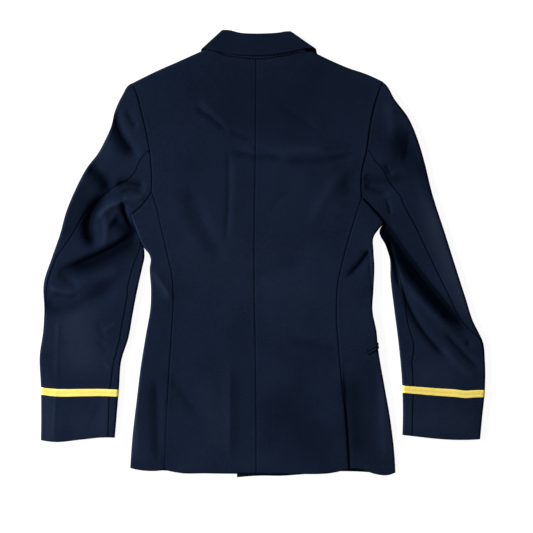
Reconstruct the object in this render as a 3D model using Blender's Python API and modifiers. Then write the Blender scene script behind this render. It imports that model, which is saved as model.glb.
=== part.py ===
# Naval dress jacket, laid flat on its front with its back up.
# Tables and sizes are in millimetres and the meshes in metres. +X is to the right seen from above,
# +Y points to the collar, and the surface that the jacket lies on is at z = 0.
# Left and right are the wearer's, which are also the viewer's because the back is up.

import math

import bmesh
import bpy
import numpy as np

MM = 0.001
CENTRE = (-0.9, 0.56)      # middle of the whole jacket in the tables' frame
CLOTH = 1.5                # thickness of a panel with its interlining
SEAM_GAP = 0.3             # space between two panels at a seam
ARMHOLE_GAP = 1.2          # the same at the armholes, whose two sides are sampled differently
LAYER_GAP = 0.3            # space between cloth that lies on cloth
EDGE_ROLL = 4.5            # how far in from a folded edge the cloth reaches its full height
LEAST_HEIGHT = 4.4         # two walls and the air between them, at the bottom of a fold
STEP_REACH = 30.0          # a layer starts to rise this far outside what it lies over
STEP_LENGTH = 25.0         # and it rises over this length

LACE_WIDTH = 12.7
LACE_THICK = 0.8
LACE_MIDDLE = {"left": (-246.4, -250.4), "right": (-251.1, -243.0)}    # y at the outer and inner edges
CUFF_LIFT = 1.1            # the cuff's underside lies on its lace, this far above the surface

BUTTON_RADIUS = 11.0
BUTTON_HEIGHT = 3.0
BUTTON_ROWS = (40.0, -45.0, -130.0)
BUTTON_COLUMNS = (-32.3, 55.7)

JET_WIDTH = 4.6
JET_THICK = 0.8
JET_LENGTH = 135.0
JET_GAP = 0.9              # space between the jets and the panel
JET_START = {"left": -9.0, "right": 17.0}    # the rear end, on top of the side panel where positive
JET_EDGE_Y = -167.0        # where the line between the jets crosses the side edge
JET_SLOPE_TOP = 0.6        # its slope on top of the side panel, and underneath
JET_SLOPE_UNDER = 0.12
VENT_LAP = 24.0            # how far the underlap reaches beneath the back
VENT_TOP = 0.745           # where each vent starts, as a share of the side-back seam

LEAF_TOP = 12.0            # top of the collar leaf above the surface
VENT_GAP = 0.6             # space between the back and the vent's underlap
LAPEL_GAP = 0.5            # space between the right front and its lapel
BUTTON_DOME = 2.1

ROLL_ARC = 0.5 * math.pi * EDGE_ROLL       # cloth in the quarter turn of a folded edge
ROLL_SPARE = ROLL_ARC - EDGE_ROLL          # and how much more that is than its plan width
ARMHOLE_LENGTH = 200.0                     # from the shoulder to the side seam
SIDE_LENGTH = 500.0                        # from the armhole to the hem
ARMHOLE_SHARE = 0.32                       # share of a panel's length above the side seam
NECK_SHARE = 0.37                          # share of the back's top edge that is its neck
CAP_LEVEL = 95.0                           # y of the outer edge on the row that ends at the underarm
HIND_END = 2.0                             # run of the hind-arm seam at the cuff, just above the outer edge

COLUMN_FAR = 12.0                          # width of a panel's columns, and at its folded edges
COLUMN_NEAR = 2.6
COLUMNS_BACK = 8
COLUMNS_FRONT = 7
COLUMNS_SIDE = 12
COLUMNS_LAPEL = 4
COLUMNS_COLLAR = 24
COLUMNS_TOP_SLEEVE = 18
COLUMNS_UNDER_SLEEVE = 8
COLUMNS_JET = 10
ROWS_ROLL = 3
ROWS_ARMHOLE = 8
ROWS_SEAM = 13
ROWS_BODY = ROWS_ROLL + ROWS_ARMHOLE + ROWS_SEAM
ROWS_VENT = 3
ROWS_LAPEL = 8
ROWS_COLLAR = 3
ROWS_CAP = 9
ROWS_ARM = 12
ROWS_CUFF = 2
ROWS_SLEEVE = ROWS_CAP + ROWS_ARM + 1 + ROWS_CUFF

SLEEVE_GAP = 0.6                           # how far a sleeve's top edge stands off the armhole's line
SLEEVE_SEAM_GAP = 0.6                      # space between the two pieces of a sleeve
FOREARM_START = 4.0                        # rows over which the forearm seam comes round the inner edge

NAVY = (0.012, 0.018, 0.036, 1.0)
NAVY_UNDER = (0.010, 0.014, 0.028, 1.0)
GOLD = (0.86, 0.62, 0.14, 1.0)
GILT = (0.80, 0.56, 0.20, 1.0)

# Seams and edges seen from above: x, y
NECK = ((-12.6, 350.1), (-43.2, 353.0), (-67.1, 356.9), (-86.4, 364.1), (-104.0, 368.0))
NECK_RIGHT = ((-12.6, 350.1), (5.4, 350.8), (28.8, 354.4), (45.0, 356.6), (61.2, 360.9), (90.0, 363.8))
SHOULDER = {
    "left": ((-104.0, 368.0), (-149.4, 347.4), (-185.4, 331.6), (-210.6, 319.6), (-234.9, 307.2)),
    "right": ((90.0, 363.8), (122.4, 347.8), (156.6, 333.4), (183.6, 324.4), (216.0, 309.4)),
}
ARMHOLE_BACK = {
    "left": ((-234.9, 307.2), (-226.8, 288.0), (-216.0, 246.6), (-205.2, 196.9), (-200.6, 155.0),
             (-199.8, 130.5), (-200.6, 112.5)),
    "right": ((216.0, 309.4), (200.9, 268.9), (192.1, 226.8), (186.5, 185.4), (177.3, 144.0),
              (176.4, 127.8), (177.6, 101.5)),
}
ARMHOLE_UNDER = {
    "left": ((-200.6, 112.5), (-207.0, 101.0), (-218.7, 86.4), (-238.5, 70.5)),
    "right": ((177.6, 101.5), (195.3, 82.8), (210.0, 65.5), (218.6, 54.6)),
}
ARMHOLE_FRONT = {
    "left": ((-234.9, 307.2), (-213.0, 262.0), (-198.0, 215.0), (-189.0, 165.0), (-190.0, 125.0),
             (-203.0, 98.0)),
    "right": ((216.0, 309.4), (194.0, 262.0), (179.0, 215.0), (168.0, 165.0), (168.0, 122.0),
              (180.0, 93.0)),
}
ARMHOLE_FRONT_UNDER = {
    "left": ((-203.0, 98.0), (-217.0, 84.0), (-238.5, 70.5)),
    "right": ((180.0, 93.0), (196.0, 76.0), (218.6, 54.6)),
}
CENTRE_BACK = ((-12.6, 350.1), (-13.7, 169.2), (-15.7, 25.2), (-15.1, -82.8), (-13.5, -180.0),
               (-12.2, -395.0))
SIDE_BACK = {
    "left": ((-200.6, 112.5), (-192.6, 88.0), (-181.8, 41.4), (-171.5, -1.8), (-162.4, -46.8),
             (-161.1, -77.4), (-164.7, -147.6), (-169.2, -219.6), (-172.8, -282.6), (-176.4, -388.5)),
    "right": ((177.6, 101.5), (162.0, 52.9), (145.4, -5.4), (135.0, -52.2), (132.3, -109.1),
              (136.8, -175.5), (142.7, -241.2), (149.4, -297.0), (154.6, -386.5)),
}
BODY_EDGE = {
    "left": ((-238.5, 70.5), (-229.7, 46.8), (-213.1, 9.9), (-205.0, 0.0), (-202.0, -9.0), (-203.6, -24.0),
             (-201.6, -62.1), (-202.0, -90.0), (-211.7, -151.2), (-220.0, -203.4), (-227.5, -264.6),
             (-235.3, -333.0), (-238.9, -385.0)),
    "right": ((218.6, 54.6), (207.3, 43.4), (198.6, 29.3), (198.6, 8.0), (200.4, -20.0), (198.7, -65.0),
              (197.0, -100.8), (204.6, -142.0), (206.6, -165.0), (218.9, -239.4), (228.6, -294.7),
              (236.8, -365.0), (238.3, -393.0)),
}
SIDE_FRONT = {
    "left": ((-203.0, 98.0), (-196.0, 55.0), (-190.0, 5.0), (-189.0, -60.0), (-193.0, -120.0),
             (-196.0, -190.0), (-195.0, -270.0), (-193.5, -389.0)),
    "right": ((180.0, 93.0), (185.0, 50.0), (187.5, 5.0), (188.5, -60.0), (190.0, -120.0),
              (195.0, -190.0), (206.0, -270.0), (213.0, -395.0)),
}
HEM_BACK = {
    "left": ((-12.2, -395.0), (-57.6, -395.2), (-105.1, -394.6), (-146.7, -394.2), (-176.4, -388.5)),
    "right": ((-12.2, -395.0), (66.6, -396.0), (126.0, -393.5), (154.6, -386.5)),
}
HEM_SIDE = {
    "left": ((-176.4, -388.5), (-218.7, -389.2), (-238.9, -385.0)),
    "right": ((154.6, -386.5), (176.4, -388.0), (203.4, -396.2), (223.2, -398.0), (238.3, -393.0)),
}
HEM_UNDER = {
    "left": ((-193.5, -389.0), (-218.7, -389.0), (-238.9, -385.0)),
    "right": ((213.0, -395.0), (225.0, -397.0), (238.3, -393.0)),
}
HEM_FRONT = {
    "left": ((70.0, -393.0), (0.0, -393.5), (-90.0, -392.5), (-193.5, -389.0)),
    "right": ((-46.8, -401.8), (-5.0, -398.8), (32.0, -399.0), (66.0, -396.8), (140.0, -391.0),
              (213.0, -395.0)),
}
NECKLINE = {
    "left": ((-104.0, 368.0), (-88.0, 352.0), (-72.0, 336.0), (-24.7, 242.3), (22.7, 148.7), (70.0, 55.0)),
    "right": ((90.0, 363.8), (74.0, 350.0), (56.0, 336.0), (21.7, 242.3), (-12.5, 148.7), (-46.8, 55.0)),
}
FRONT_EDGE = {
    "left": ((70.0, 55.0), (70.0, -100.0), (70.0, -250.0), (70.0, -393.0)),
    "right": ((-46.8, 55.0), (-46.8, -100.0), (-46.8, -250.0), (-46.8, -401.8)),
}
ROLL_LINE = {
    "left": ((-73.5, 335.0), (-49.0, 286.0), (20.0, 150.0), (66.0, 60.0)),
    "right": ((57.5, 335.0), (38.0, 286.0), (-13.0, 146.0), (-43.0, 62.0)),
}
LAPEL_EDGE = {
    "left": ((-137.0, 254.0), (-105.0, 185.0), (-52.0, 122.0), (12.0, 84.0), (62.0, 57.5)),
    "right": ((121.0, 254.0), (90.0, 185.0), (44.0, 122.0), (-8.0, 84.0), (-39.0, 58.5)),
}
GORGE = {
    "left": ((-73.5, 335.0), (-87.0, 305.0), (-99.0, 278.0), (-113.0, 260.0), (-137.0, 254.0)),
    "right": ((57.5, 335.0), (71.0, 305.0), (83.0, 278.0), (97.0, 260.0), (121.0, 254.0)),
}
COLLAR_ROLL = {
    "left": ((-73.8, 402.7), (-77.0, 370.0), (-77.0, 338.0), (-89.0, 308.0), (-100.5, 285.0)),
    "right": ((50.4, 400.5), (55.0, 370.0), (60.5, 338.0), (73.0, 308.0), (84.5, 285.0)),
}
COLLAR_END = {
    "left": ((-110.7, 369.0), (-118.0, 340.0), (-124.0, 315.0), (-130.0, 291.0)),
    "right": ((95.4, 369.0), (102.0, 340.0), (108.0, 315.0), (114.0, 291.0)),
}
COLLAR_TOP = ((-73.8, 402.7), (-62.3, 402.7), (-41.4, 397.8), (-18.9, 396.4), (5.4, 396.7), (28.8, 398.3),
              (41.4, 400.3), (50.4, 400.5))
COLLAR_HEM = ((-110.7, 369.0), (-82.8, 364.1), (-59.4, 359.3), (-34.9, 356.9), (-10.8, 356.6), (12.6, 357.7),
              (37.8, 360.9), (61.2, 365.8), (78.0, 369.2), (95.4, 369.0))
STAND_TOP = ((-67.0, 396.5), (-41.4, 394.5), (-7.0, 393.3), (24.0, 395.0), (43.0, 396.5))
STAND_HEM = ((-84.0, 365.0), (-66.0, 358.6), (-43.2, 354.3), (-12.6, 351.4), (5.4, 352.2), (28.8, 355.8),
             (45.0, 358.2), (61.2, 362.4), (72.0, 363.7))
SLEEVE_OUTER = {
    "left": ((-234.9, 307.2), (-241.0, 304.6), (-253.8, 285.5), (-268.2, 253.8), (-273.6, 230.4),
             (-284.4, 205.2), (-298.8, 178.9), (-315.0, 158.4), (-339.1, 113.4), (-354.6, 75.6),
             (-365.4, 36.0), (-380.7, -8.1), (-394.6, -52.2), (-393.8, -103.5), (-395.5, -136.8),
             (-401.9, -183.6), (-399.8, -235.8), (-399.6, -334.8)),
    "right": ((216.0, 309.4), (222.5, 303.5), (236.9, 279.0), (261.9, 245.3), (279.9, 203.4),
              (290.9, 166.5), (304.2, 111.6), (329.4, 32.4), (349.2, -30.6), (365.4, -81.0),
              (378.7, -122.4), (388.0, -141.0), (395.3, -156.6), (399.4, -192.6), (399.4, -243.0),
              (394.2, -295.2), (390.6, -333.2)),
}
SLEEVE_INNER = {
    "left": ((-240.0, 70.5), (-231.8, 44.0), (-214.8, 7.0), (-213.2, -6.0), (-217.3, -25.2), (-225.5, -62.1),
             (-234.0, -106.2), (-242.1, -151.2), (-254.6, -190.8), (-258.8, -240.7), (-266.4, -330.4)),
    "right": ((220.2, 54.0), (212.0, 40.0), (221.8, 14.4), (228.1, -9.0), (229.1, -39.6), (235.4, -95.4),
              (243.9, -162.0), (250.2, -234.5), (250.6, -325.6)),
}
CUFF_HEM = {
    "left": ((-399.6, -334.8), (-378.0, -338.0), (-326.7, -333.9), (-290.0, -330.2), (-266.4, -330.4)),
    "right": ((390.6, -333.2), (363.6, -334.4), (308.9, -332.1), (284.4, -329.4), (250.6, -325.6)),
}
HIND_SEAM = {
    "left": ((-205.0, 184.0), (-221.4, 166.5), (-254.7, 127.8), (-293.4, 99.0), (-321.1, 72.0),
             (-345.6, 30.6), (-371.7, -6.7), (-386.1, -49.5), (-390.5, -90.0)),
    "right": ((188.0, 186.5), (200.9, 169.2), (225.9, 131.4), (248.4, 102.6), (270.0, 58.5),
              (297.9, 0.0), (320.4, -46.8), (347.4, -103.5), (369.9, -135.0), (388.5, -150.0)),
}
FOREARM_SEAM = {
    "left": ((-224.1, 23.8), (-234.0, -23.4), (-243.5, -75.6), (-253.3, -126.0), (-264.2, -181.1),
             (-274.5, -240.7), (-277.2, -286.2), (-278.6, -331.2)),
    "right": ((238.0, -15.0), (254.9, -73.1), (262.4, -131.4), (267.8, -194.4), (269.6, -270.0),
              (268.7, -326.0)),
}

# Height of the top cloth above the surface along the jacket: y, body, sleeves
HEIGHTS = ((-400.0, 6.4, 7.0), (-250.0, 8.4, 8.0), (-150.0, 10.0, 8.6), (-80.0, 10.4, 9.0),
           (60.0, 11.2, 10.0), (200.0, 11.2, 11.0), (310.0, 11.4, 11.4), (360.0, 10.2, 11.4))

# Level that the right front and lapel lie on, over the left front and its buttons: y, level
RIGHT_LEVEL = ((-400.0, 2.2), (-300.0, 2.2), (-205.0, 5.2), (105.0, 5.2), (165.0, 3.8), (400.0, 3.8))

# Largest folds of the top cloth: start x, y, bend x, y, end x, y, half width, rise, lean
# The lean, from -1 to 1, makes the fold steeper on the right or on the left of its run.
FOLDS_BODY = (
    (-133.0, 135.0, -112.0, 70.0, -78.0, -12.0, 16.0, 1.8, 0.0),
    (-158.0, 118.0, -136.0, 58.0, -104.0, -10.0, 17.0, -1.8, 0.0),
    (-57.0, 183.0, 10.0, 170.0, 148.0, 169.0, 9.0, 1.6, 0.4),
    (-57.0, 169.0, 10.0, 156.0, 148.0, 156.0, 9.0, -1.4, 0.0),
    (157.0, 160.0, 152.0, 128.0, 158.0, 98.0, 15.0, -2.4, 0.0),
    (189.0, 5.0, 176.0, -16.0, 150.0, -43.0, 9.0, -3.8, 0.3),
    (-201.0, -28.0, -178.0, -58.0, -163.0, -84.0, 9.0, 2.2, 0.0),
    (-203.0, -215.0, -206.0, -300.0, -203.0, -392.0, 11.0, -2.2, 0.0),
    (170.0, -200.0, 182.0, -290.0, 186.0, -395.0, 13.0, -1.8, 0.0),
)
FOLDS_LEFT = (
    (-266.0, 258.0, -252.0, 218.0, -220.0, 182.0, 12.0, -5.0, -0.3),
    (-262.0, 268.0, -243.0, 224.0, -212.0, 186.0, 8.0, 3.0, 0.0),
    (-314.0, 158.0, -300.0, 146.0, -284.0, 137.0, 9.0, 3.5, 0.4),
    (-258.0, 124.0, -236.0, 126.0, -204.0, 129.0, 9.0, -3.2, 0.0),
    (-292.0, 97.0, -314.0, 58.0, -297.0, 12.0, 14.0, -5.0, 0.3),
    (-246.0, 92.0, -252.0, 74.0, -240.0, 60.0, 7.0, -5.5, 0.0),
    (-227.0, 44.0, -290.0, 0.0, -374.0, -34.0, 12.0, -4.5, -0.4),
    (-279.0, 26.0, -318.0, -6.0, -366.0, -24.0, 11.0, 3.5, 0.0),
    (-388.0, -70.0, -345.0, -104.0, -262.0, -40.0, 14.0, -4.0, 0.0),
    (-392.0, -56.0, -362.0, -66.0, -335.0, -72.0, 10.0, 3.0, 0.0),
)
FOLDS_RIGHT = (
    (180.0, 98.0, 214.0, 52.0, 245.0, 10.0, 10.0, -4.5, -0.65),
    (226.0, 30.0, 290.0, -56.0, 378.0, -148.0, 11.0, -6.5, -0.65),
    (204.0, 84.0, 279.0, -22.0, 380.0, -133.0, 10.0, 4.0, 0.3),
    (232.0, -12.0, 262.0, -92.0, 328.0, -180.0, 11.0, -4.5, 0.0),
    (240.0, -6.0, 284.0, -90.0, 344.0, -164.0, 8.0, 3.0, 0.0),
    (292.0, -130.0, 320.0, -160.0, 364.0, -210.0, 13.0, -3.0, 0.0),
    (318.0, -137.0, 346.0, -169.0, 394.0, -214.0, 10.0, 3.0, 0.0),
    (225.0, 277.0, 233.0, 240.0, 234.0, 196.0, 8.0, 2.6, 0.0),
    (254.0, 232.0, 249.0, 186.0, 226.0, 142.0, 11.0, -3.6, 0.0),
    (183.0, 142.0, 211.0, 131.0, 282.0, 136.0, 9.0, -3.4, 0.0),
    (184.0, 128.0, 204.0, 115.0, 228.0, 106.0, 7.0, -2.6, 0.0),
)


def ease(t):
    """Smooth step from 0 to 1."""
    t = np.clip(t, 0.0, 1.0)
    return t * t * (3.0 - 2.0 * t)


def curve(table):
    """Smooth curve through a table's x, y rows, followed by its length from 0 to 1."""
    points = np.array(table, float)
    knots = np.concatenate([[0.0], np.cumsum(np.hypot(*np.diff(points, axis=0).T))])
    slopes = np.gradient(points, knots, axis=0, edge_order=min(2, len(points) - 1))
    fine = []
    for i in range(len(points) - 1):
        span = knots[i + 1] - knots[i]
        t = np.linspace(0.0, 1.0, 16, endpoint=i == len(points) - 2)[:, None]
        fine.append((2 * t**3 - 3 * t**2 + 1) * points[i] + (t**3 - 2 * t**2 + t) * span * slopes[i]
                    + (3 * t**2 - 2 * t**3) * points[i + 1] + (t**3 - t**2) * span * slopes[i + 1])
    fine = np.concatenate(fine)
    run = np.concatenate([[0.0], np.cumsum(np.hypot(*np.diff(fine, axis=0).T))])
    run /= run[-1]

    def at(t):
        return np.stack([np.interp(t, run, fine[:, 0]), np.interp(t, run, fine[:, 1])], -1)

    return at


def chain(first, second, split):
    """Two curves as one: the first up to the split, and the second after it."""

    def at(t):
        t = np.asarray(t, float)
        before = first(np.clip(t / split, 0.0, 1.0))
        after = second(np.clip((t - split) / (1.0 - split), 0.0, 1.0))
        return np.where((t < split)[..., None], before, after)

    return at


def patch(left, right, top, bottom):
    """Places on the surface that four curves bound: u runs from left to right, v from top to bottom."""

    def at(u, v):
        u = np.asarray(u, float)
        v = np.asarray(v, float)
        a = u[..., None]
        b = v[..., None]
        across = (1 - a) * left(v) + a * right(v)
        along = (1 - b) * top(u) + b * bottom(u)
        corners = ((1 - a) * (1 - b) * left(0.0) + a * (1 - b) * right(0.0)
                   + (1 - a) * b * left(1.0) + a * b * right(1.0))
        return across + along - corners

    return at


def nearest(x, y, line):
    """Distance from places to a run of points, with its sign, positive on the left, and the share run."""
    best = np.full(np.shape(x), 1e9)
    side = np.zeros(np.shape(x))
    share = np.zeros(np.shape(x))
    count = len(line) - 1
    for i in range(count):
        ax, ay = line[i]
        dx, dy = line[i + 1] - line[i]
        t = np.clip(((x - ax) * dx + (y - ay) * dy) / (dx * dx + dy * dy), 0.0, 1.0)
        gap = np.hypot(x - ax - t * dx, y - ay - t * dy)
        closer = gap < best
        best = np.where(closer, gap, best)
        side = np.where(closer, dx * (y - ay) - dy * (x - ax), side)
        share = np.where(closer, (i + t) / count, share)
    return best, np.sign(side), share


def folded(x, y, folds):
    """Rise of the cloth at places, from a table of folds."""
    lift = np.zeros(np.shape(x))
    for x0, y0, x1, y1, x2, y2, half_width, rise, lean in folds:
        t = np.linspace(0.0, 1.0, 11)[:, None]
        bend = 2 * np.array((x1, y1)) - 0.5 * np.array((x0 + x2, y0 + y2))
        line = (1 - t)**2 * (x0, y0) + 2 * t * (1 - t) * bend + t * t * (x2, y2)
        gap, side, share = nearest(x, y, line)
        ends = ease(share / 0.25) * ease((1.0 - share) / 0.25)
        lift = lift + rise * ends * np.exp(-(gap / (half_width * (1.0 + lean * side)))**2)
    return lift


def height(x, y, part):
    """Height of the top cloth: its level along the jacket, with the folds of the body or a sleeve."""
    levels = np.array(HEIGHTS)
    column = 1 if part == "body" else 2
    level = np.interp(y, levels[:, 0], levels[:, column])
    folds = {"body": FOLDS_BODY, "left": FOLDS_LEFT, "right": FOLDS_RIGHT}[part]
    return np.maximum(level + folded(x, y, folds), LEAST_HEIGHT)


def outline(shape, count=24):
    """Closed run of points round a patch."""
    t = np.linspace(0.0, 1.0, count)
    return np.concatenate([shape(t, 0 * t), shape(0 * t + 1, t)[1:], shape(1 - t, 0 * t + 1)[1:],
                           shape(0 * t, 1 - t)[1:]])


def over(x, y, loop):
    """1 over a piece with this outline and round it, eased to 0 further out."""
    inside = np.zeros(np.shape(x), bool)
    for (ax, ay), (bx, by) in zip(loop[:-1], loop[1:]):
        crosses = (ay > y) != (by > y)
        inside ^= crosses & (x < (bx - ax) * (y - ay) / (by - ay + 1e-12) + ax)
    gap = nearest(x, y, loop)[0]
    return np.where(inside, 1.0, ease(1.0 - (gap - STEP_REACH) / STEP_LENGTH))


def material(name, color, roughness, metallic=0.0):
    """A plain surface finish."""
    finish = bpy.data.materials.new(name)
    finish.use_nodes = True
    shader = finish.node_tree.nodes["Principled BSDF"]
    shader.inputs["Base Color"].default_value = color
    shader.inputs["Roughness"].default_value = roughness
    shader.inputs["Metallic"].default_value = metallic
    return finish


def place_object(name, bm, finish, collection):
    """The finished mesh as an object of the collection."""
    bmesh.ops.recalc_face_normals(bm, faces=bm.faces[:])
    if bm.calc_volume(signed=True) < 0.0:
        bmesh.ops.reverse_faces(bm, faces=bm.faces[:])
    mesh = bpy.data.meshes.new(name)
    bm.to_mesh(mesh)
    bm.free()
    mesh.shade_smooth()
    mesh.set_sharp_from_angle(angle=math.radians(40))
    mesh.materials.append(finish)
    collection.objects.link(bpy.data.objects.new(name, mesh))


def wall(name, across, along, skin, finish, collection):
    """A closed wall of cloth: a grid given its thickness, then moved to its outer and inner skins."""
    bm = bmesh.new()
    bmesh.ops.create_grid(bm, x_segments=across, y_segments=along, size=0.5)
    bmesh.ops.solidify(bm, geom=bm.faces[:], thickness=0.25)
    grid = np.array([v.co[:] for v in bm.verts])
    inner = grid[:, 2] < -0.1
    column = np.rint((grid[:, 0] + 0.5) * across).astype(int)
    row = np.rint((0.5 - grid[:, 1]) * along).astype(int)
    points = skin(column / across, row, np.where(inner, CLOTH, 0.0)) - (*CENTRE, 0.0)
    for vert, point in zip(bm.verts, points):
        vert.co = point * MM
    place_object(name, bm, finish, collection)


def solid_points(plan, z):
    """Plan places and heights as one array of points."""
    return np.concatenate([plan, z[..., None]], -1)


def reverse(line):
    """The same curve run from its other end."""
    return lambda t: line(1.0 - np.asarray(t, float))


def span(shape, v):
    """Length of a patch's rows from side to side."""
    u = np.linspace(0.0, 1.0, 25)
    places = shape(u[None, :] + 0.0 * v[:, None], v[:, None] + 0.0 * u[None, :])
    return np.hypot(*np.moveaxis(np.diff(places, axis=1), -1, 0)).sum(axis=1)


def round_edge(run, width, near, far, depth):
    """Plan distance and lift, from 0 to 1, of a place that lies a run along the cloth from the near edge.

    Near and far say which ends are folded edges. Depth is how far inside the outer skin the place is."""
    distance = run - ROLL_SPARE * near
    lift = np.ones(np.shape(run))
    total = width + ROLL_SPARE * (near + far)
    if near:
        turn = np.clip(run / EDGE_ROLL, 0.0, 0.5 * math.pi)
        rolled = EDGE_ROLL * (1.0 - np.cos(turn)) + depth * np.cos(turn)
        distance = np.where(run < ROLL_ARC, rolled, distance)
        lift = np.where(run < ROLL_ARC, np.sin(turn), lift)
    if far:
        turn = np.clip((total - run) / EDGE_ROLL, 0.0, 0.5 * math.pi)
        rolled = width - EDGE_ROLL * (1.0 - np.cos(turn)) - depth * np.cos(turn)
        distance = np.where(total - run < ROLL_ARC, rolled, distance)
        lift = np.where(total - run < ROLL_ARC, np.sin(turn), lift)
    return distance, lift


def stacked(top, floor, lift, above, depth):
    """Height of a place on the upper or the lower side, between the top cloth and what it lies on."""
    middle = 0.5 * (top + floor)
    half = (0.5 * (top - floor) - depth) * lift
    return np.where(above, middle + half, middle - half)


def columns(start, end, edges, share):
    """Places along a run at a share of its columns, which stand closer at the folded edges."""
    steps = np.linspace(0.0, 1.0, 161)
    out = np.empty(len(share))
    for i in range(len(share)):
        run = start[i] + (end[i] - start[i]) * steps
        density = np.full(len(run), 1.0 / COLUMN_FAR)
        for edge in edges:
            density[np.abs(run - edge[i]) < ROLL_ARC * 1.05] = 1.0 / COLUMN_NEAR
        count = np.concatenate([[0.0], np.cumsum(0.5 * (density[1:] + density[:-1]))])
        out[i] = np.interp(share[i], count / count[-1], run)
    return out


def locate(shape, x, y):
    """The u and v of a plan place on a patch, by a search that closes in."""
    u, v, reach = 0.5, 0.5, 0.5
    for _ in range(7):
        us, vs = np.meshgrid(np.clip(np.linspace(u - reach, u + reach, 31), 0, 1),
                             np.clip(np.linspace(v - reach, v + reach, 31), 0, 1))
        gap = np.hypot(*np.moveaxis(shape(us, vs) - (x, y), -1, 0))
        best = np.unravel_index(np.argmin(gap), gap.shape)
        u, v, reach = us[best], vs[best], reach * 0.25
    return u, v


def body_shapes(side):
    """Plan patches of one half of the body: back, the side panel's two sides and the front."""
    neck = curve(NECK if side == "left" else NECK_RIGHT)
    edge = curve(BODY_EDGE[side])
    side_back = curve(SIDE_BACK[side])
    side_front = curve(SIDE_FRONT[side])
    shoulder = curve(SHOULDER[side])
    back = patch(curve(CENTRE_BACK), chain(curve(ARMHOLE_BACK[side]), side_back, ARMHOLE_SHARE),
                 chain(neck, shoulder, NECK_SHARE), curve(HEM_BACK[side]))
    above = patch(edge, side_back, reverse(curve(ARMHOLE_UNDER[side])), reverse(curve(HEM_SIDE[side])))
    below = patch(edge, side_front, reverse(curve(ARMHOLE_FRONT_UNDER[side])),
                  reverse(curve(HEM_UNDER[side])))
    front = patch(chain(curve(ARMHOLE_FRONT[side]), side_front, ARMHOLE_SHARE),
                  chain(curve(NECKLINE[side]), curve(FRONT_EDGE[side]), ARMHOLE_SHARE),
                  reverse(shoulder), reverse(curve(HEM_FRONT[side])))
    return back, above, below, front


def row_places(row):
    """Run of the rows above the side seam from the shoulder, and share of the rows down the side seam."""
    runs = np.concatenate([ROLL_ARC * np.linspace(0.0, 1.0, ROWS_ROLL + 1)[:-1],
                           np.linspace(ROLL_ARC, ARMHOLE_LENGTH + ROLL_SPARE, ROWS_ARMHOLE + 1)])
    upper = runs[np.clip(row, 0, len(runs) - 1)]
    lower = np.clip((row - len(runs) + 1) / ROWS_SEAM, 0.0, 1.0)
    return upper, lower


def down_the_panel(row, depth, seam):
    """The v of rows of a back or front, and the lift of the shoulder's folded edge."""
    upper, lower = row_places(row)
    distance, lift = round_edge(upper, ARMHOLE_LENGTH, True, False, depth)
    flat = upper - ROLL_SPARE * ease(upper / ROLL_ARC)
    distance = np.where(seam, flat, distance)
    v = np.where(lower > 0.0, ARMHOLE_SHARE + (1.0 - ARMHOLE_SHARE) * lower,
                 ARMHOLE_SHARE * distance / ARMHOLE_LENGTH)
    return v, np.where(seam, 1.0, lift)


def inset_share(share, width, start_gap, end_gap):
    """A share of a row drawn in by a gap at each end."""
    return (start_gap + share * (width - start_gap - end_gap)) / width


def make_back(side, finish, collection):
    """A back panel from the centre seam to the armhole and side seam, folded over the shoulder."""
    shape = body_shapes(side)[0]

    def skin(share, row, depth):
        seam = share < NECK_SHARE + 0.02
        v, lift = down_the_panel(row, depth, seam)
        width = span(shape, v)
        outer_gap = np.where(row_places(row)[1] > 0.0, SEAM_GAP, ARMHOLE_GAP) / 2
        plan = shape(inset_share(share, width, SEAM_GAP / 2, outer_gap), v)
        top = height(plan[:, 0], plan[:, 1], "body")
        z = stacked(top, 0.0, lift, True, depth) + SEAM_GAP / 2 * (1.0 - lift)
        return solid_points(plan, z)

    wall("back_" + side, COLUMNS_BACK, ROWS_BODY, skin, finish, collection)


def disc(x, y, radius):
    """Outline of a round piece."""
    turn = np.linspace(0.0, 2 * math.pi, 13)
    return np.stack([x + radius * np.cos(turn), y + radius * np.sin(turn)], -1)


def jet_outline(side):
    """Outline of the two jets underneath, from the side edge inwards."""
    out = -1.0 if side == "left" else 1.0
    edge = edge_x(side, JET_EDGE_Y)
    end = edge - out * JET_LENGTH
    rise = JET_SLOPE_UNDER * JET_LENGTH
    return np.array([(edge, JET_EDGE_Y - JET_WIDTH), (edge, JET_EDGE_Y + JET_WIDTH),
                     (end, JET_EDGE_Y + JET_WIDTH + rise), (end, JET_EDGE_Y - JET_WIDTH + rise),
                     (edge, JET_EDGE_Y - JET_WIDTH)])


def edge_x(side, y):
    """Where the body's side edge is at a level."""
    points = curve(BODY_EDGE[side])(np.linspace(0.0, 1.0, ROWS_SEAM + 1))
    return np.interp(-np.asarray(y, float), -points[:, 1], points[:, 0])


def lapel_shape(side):
    """Plan patch of a lapel: the roll line, its outer edge, the gorge and the short end at the break."""
    gorge = curve(GORGE[side])
    roll = curve(ROLL_LINE[side])
    edge = curve(LAPEL_EDGE[side])
    end = curve((ROLL_LINE[side][-1], LAPEL_EDGE[side][-1]))
    return patch(roll, edge, gorge, end)


def collar_shapes():
    """Plan patches of the collar leaf: the back, and the left and right ends underneath."""
    folds = {s: curve((COLLAR_ROLL[s][0], COLLAR_END[s][0])) for s in ("left", "right")}
    back = patch(folds["left"], folds["right"], curve(COLLAR_TOP), curve(COLLAR_HEM))
    ends = {s: patch(folds[s], curve((COLLAR_ROLL[s][-1], COLLAR_END[s][-1])), curve(COLLAR_ROLL[s]),
                     curve(COLLAR_END[s])) for s in ("left", "right")}
    return back, ends["left"], ends["right"]


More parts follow.
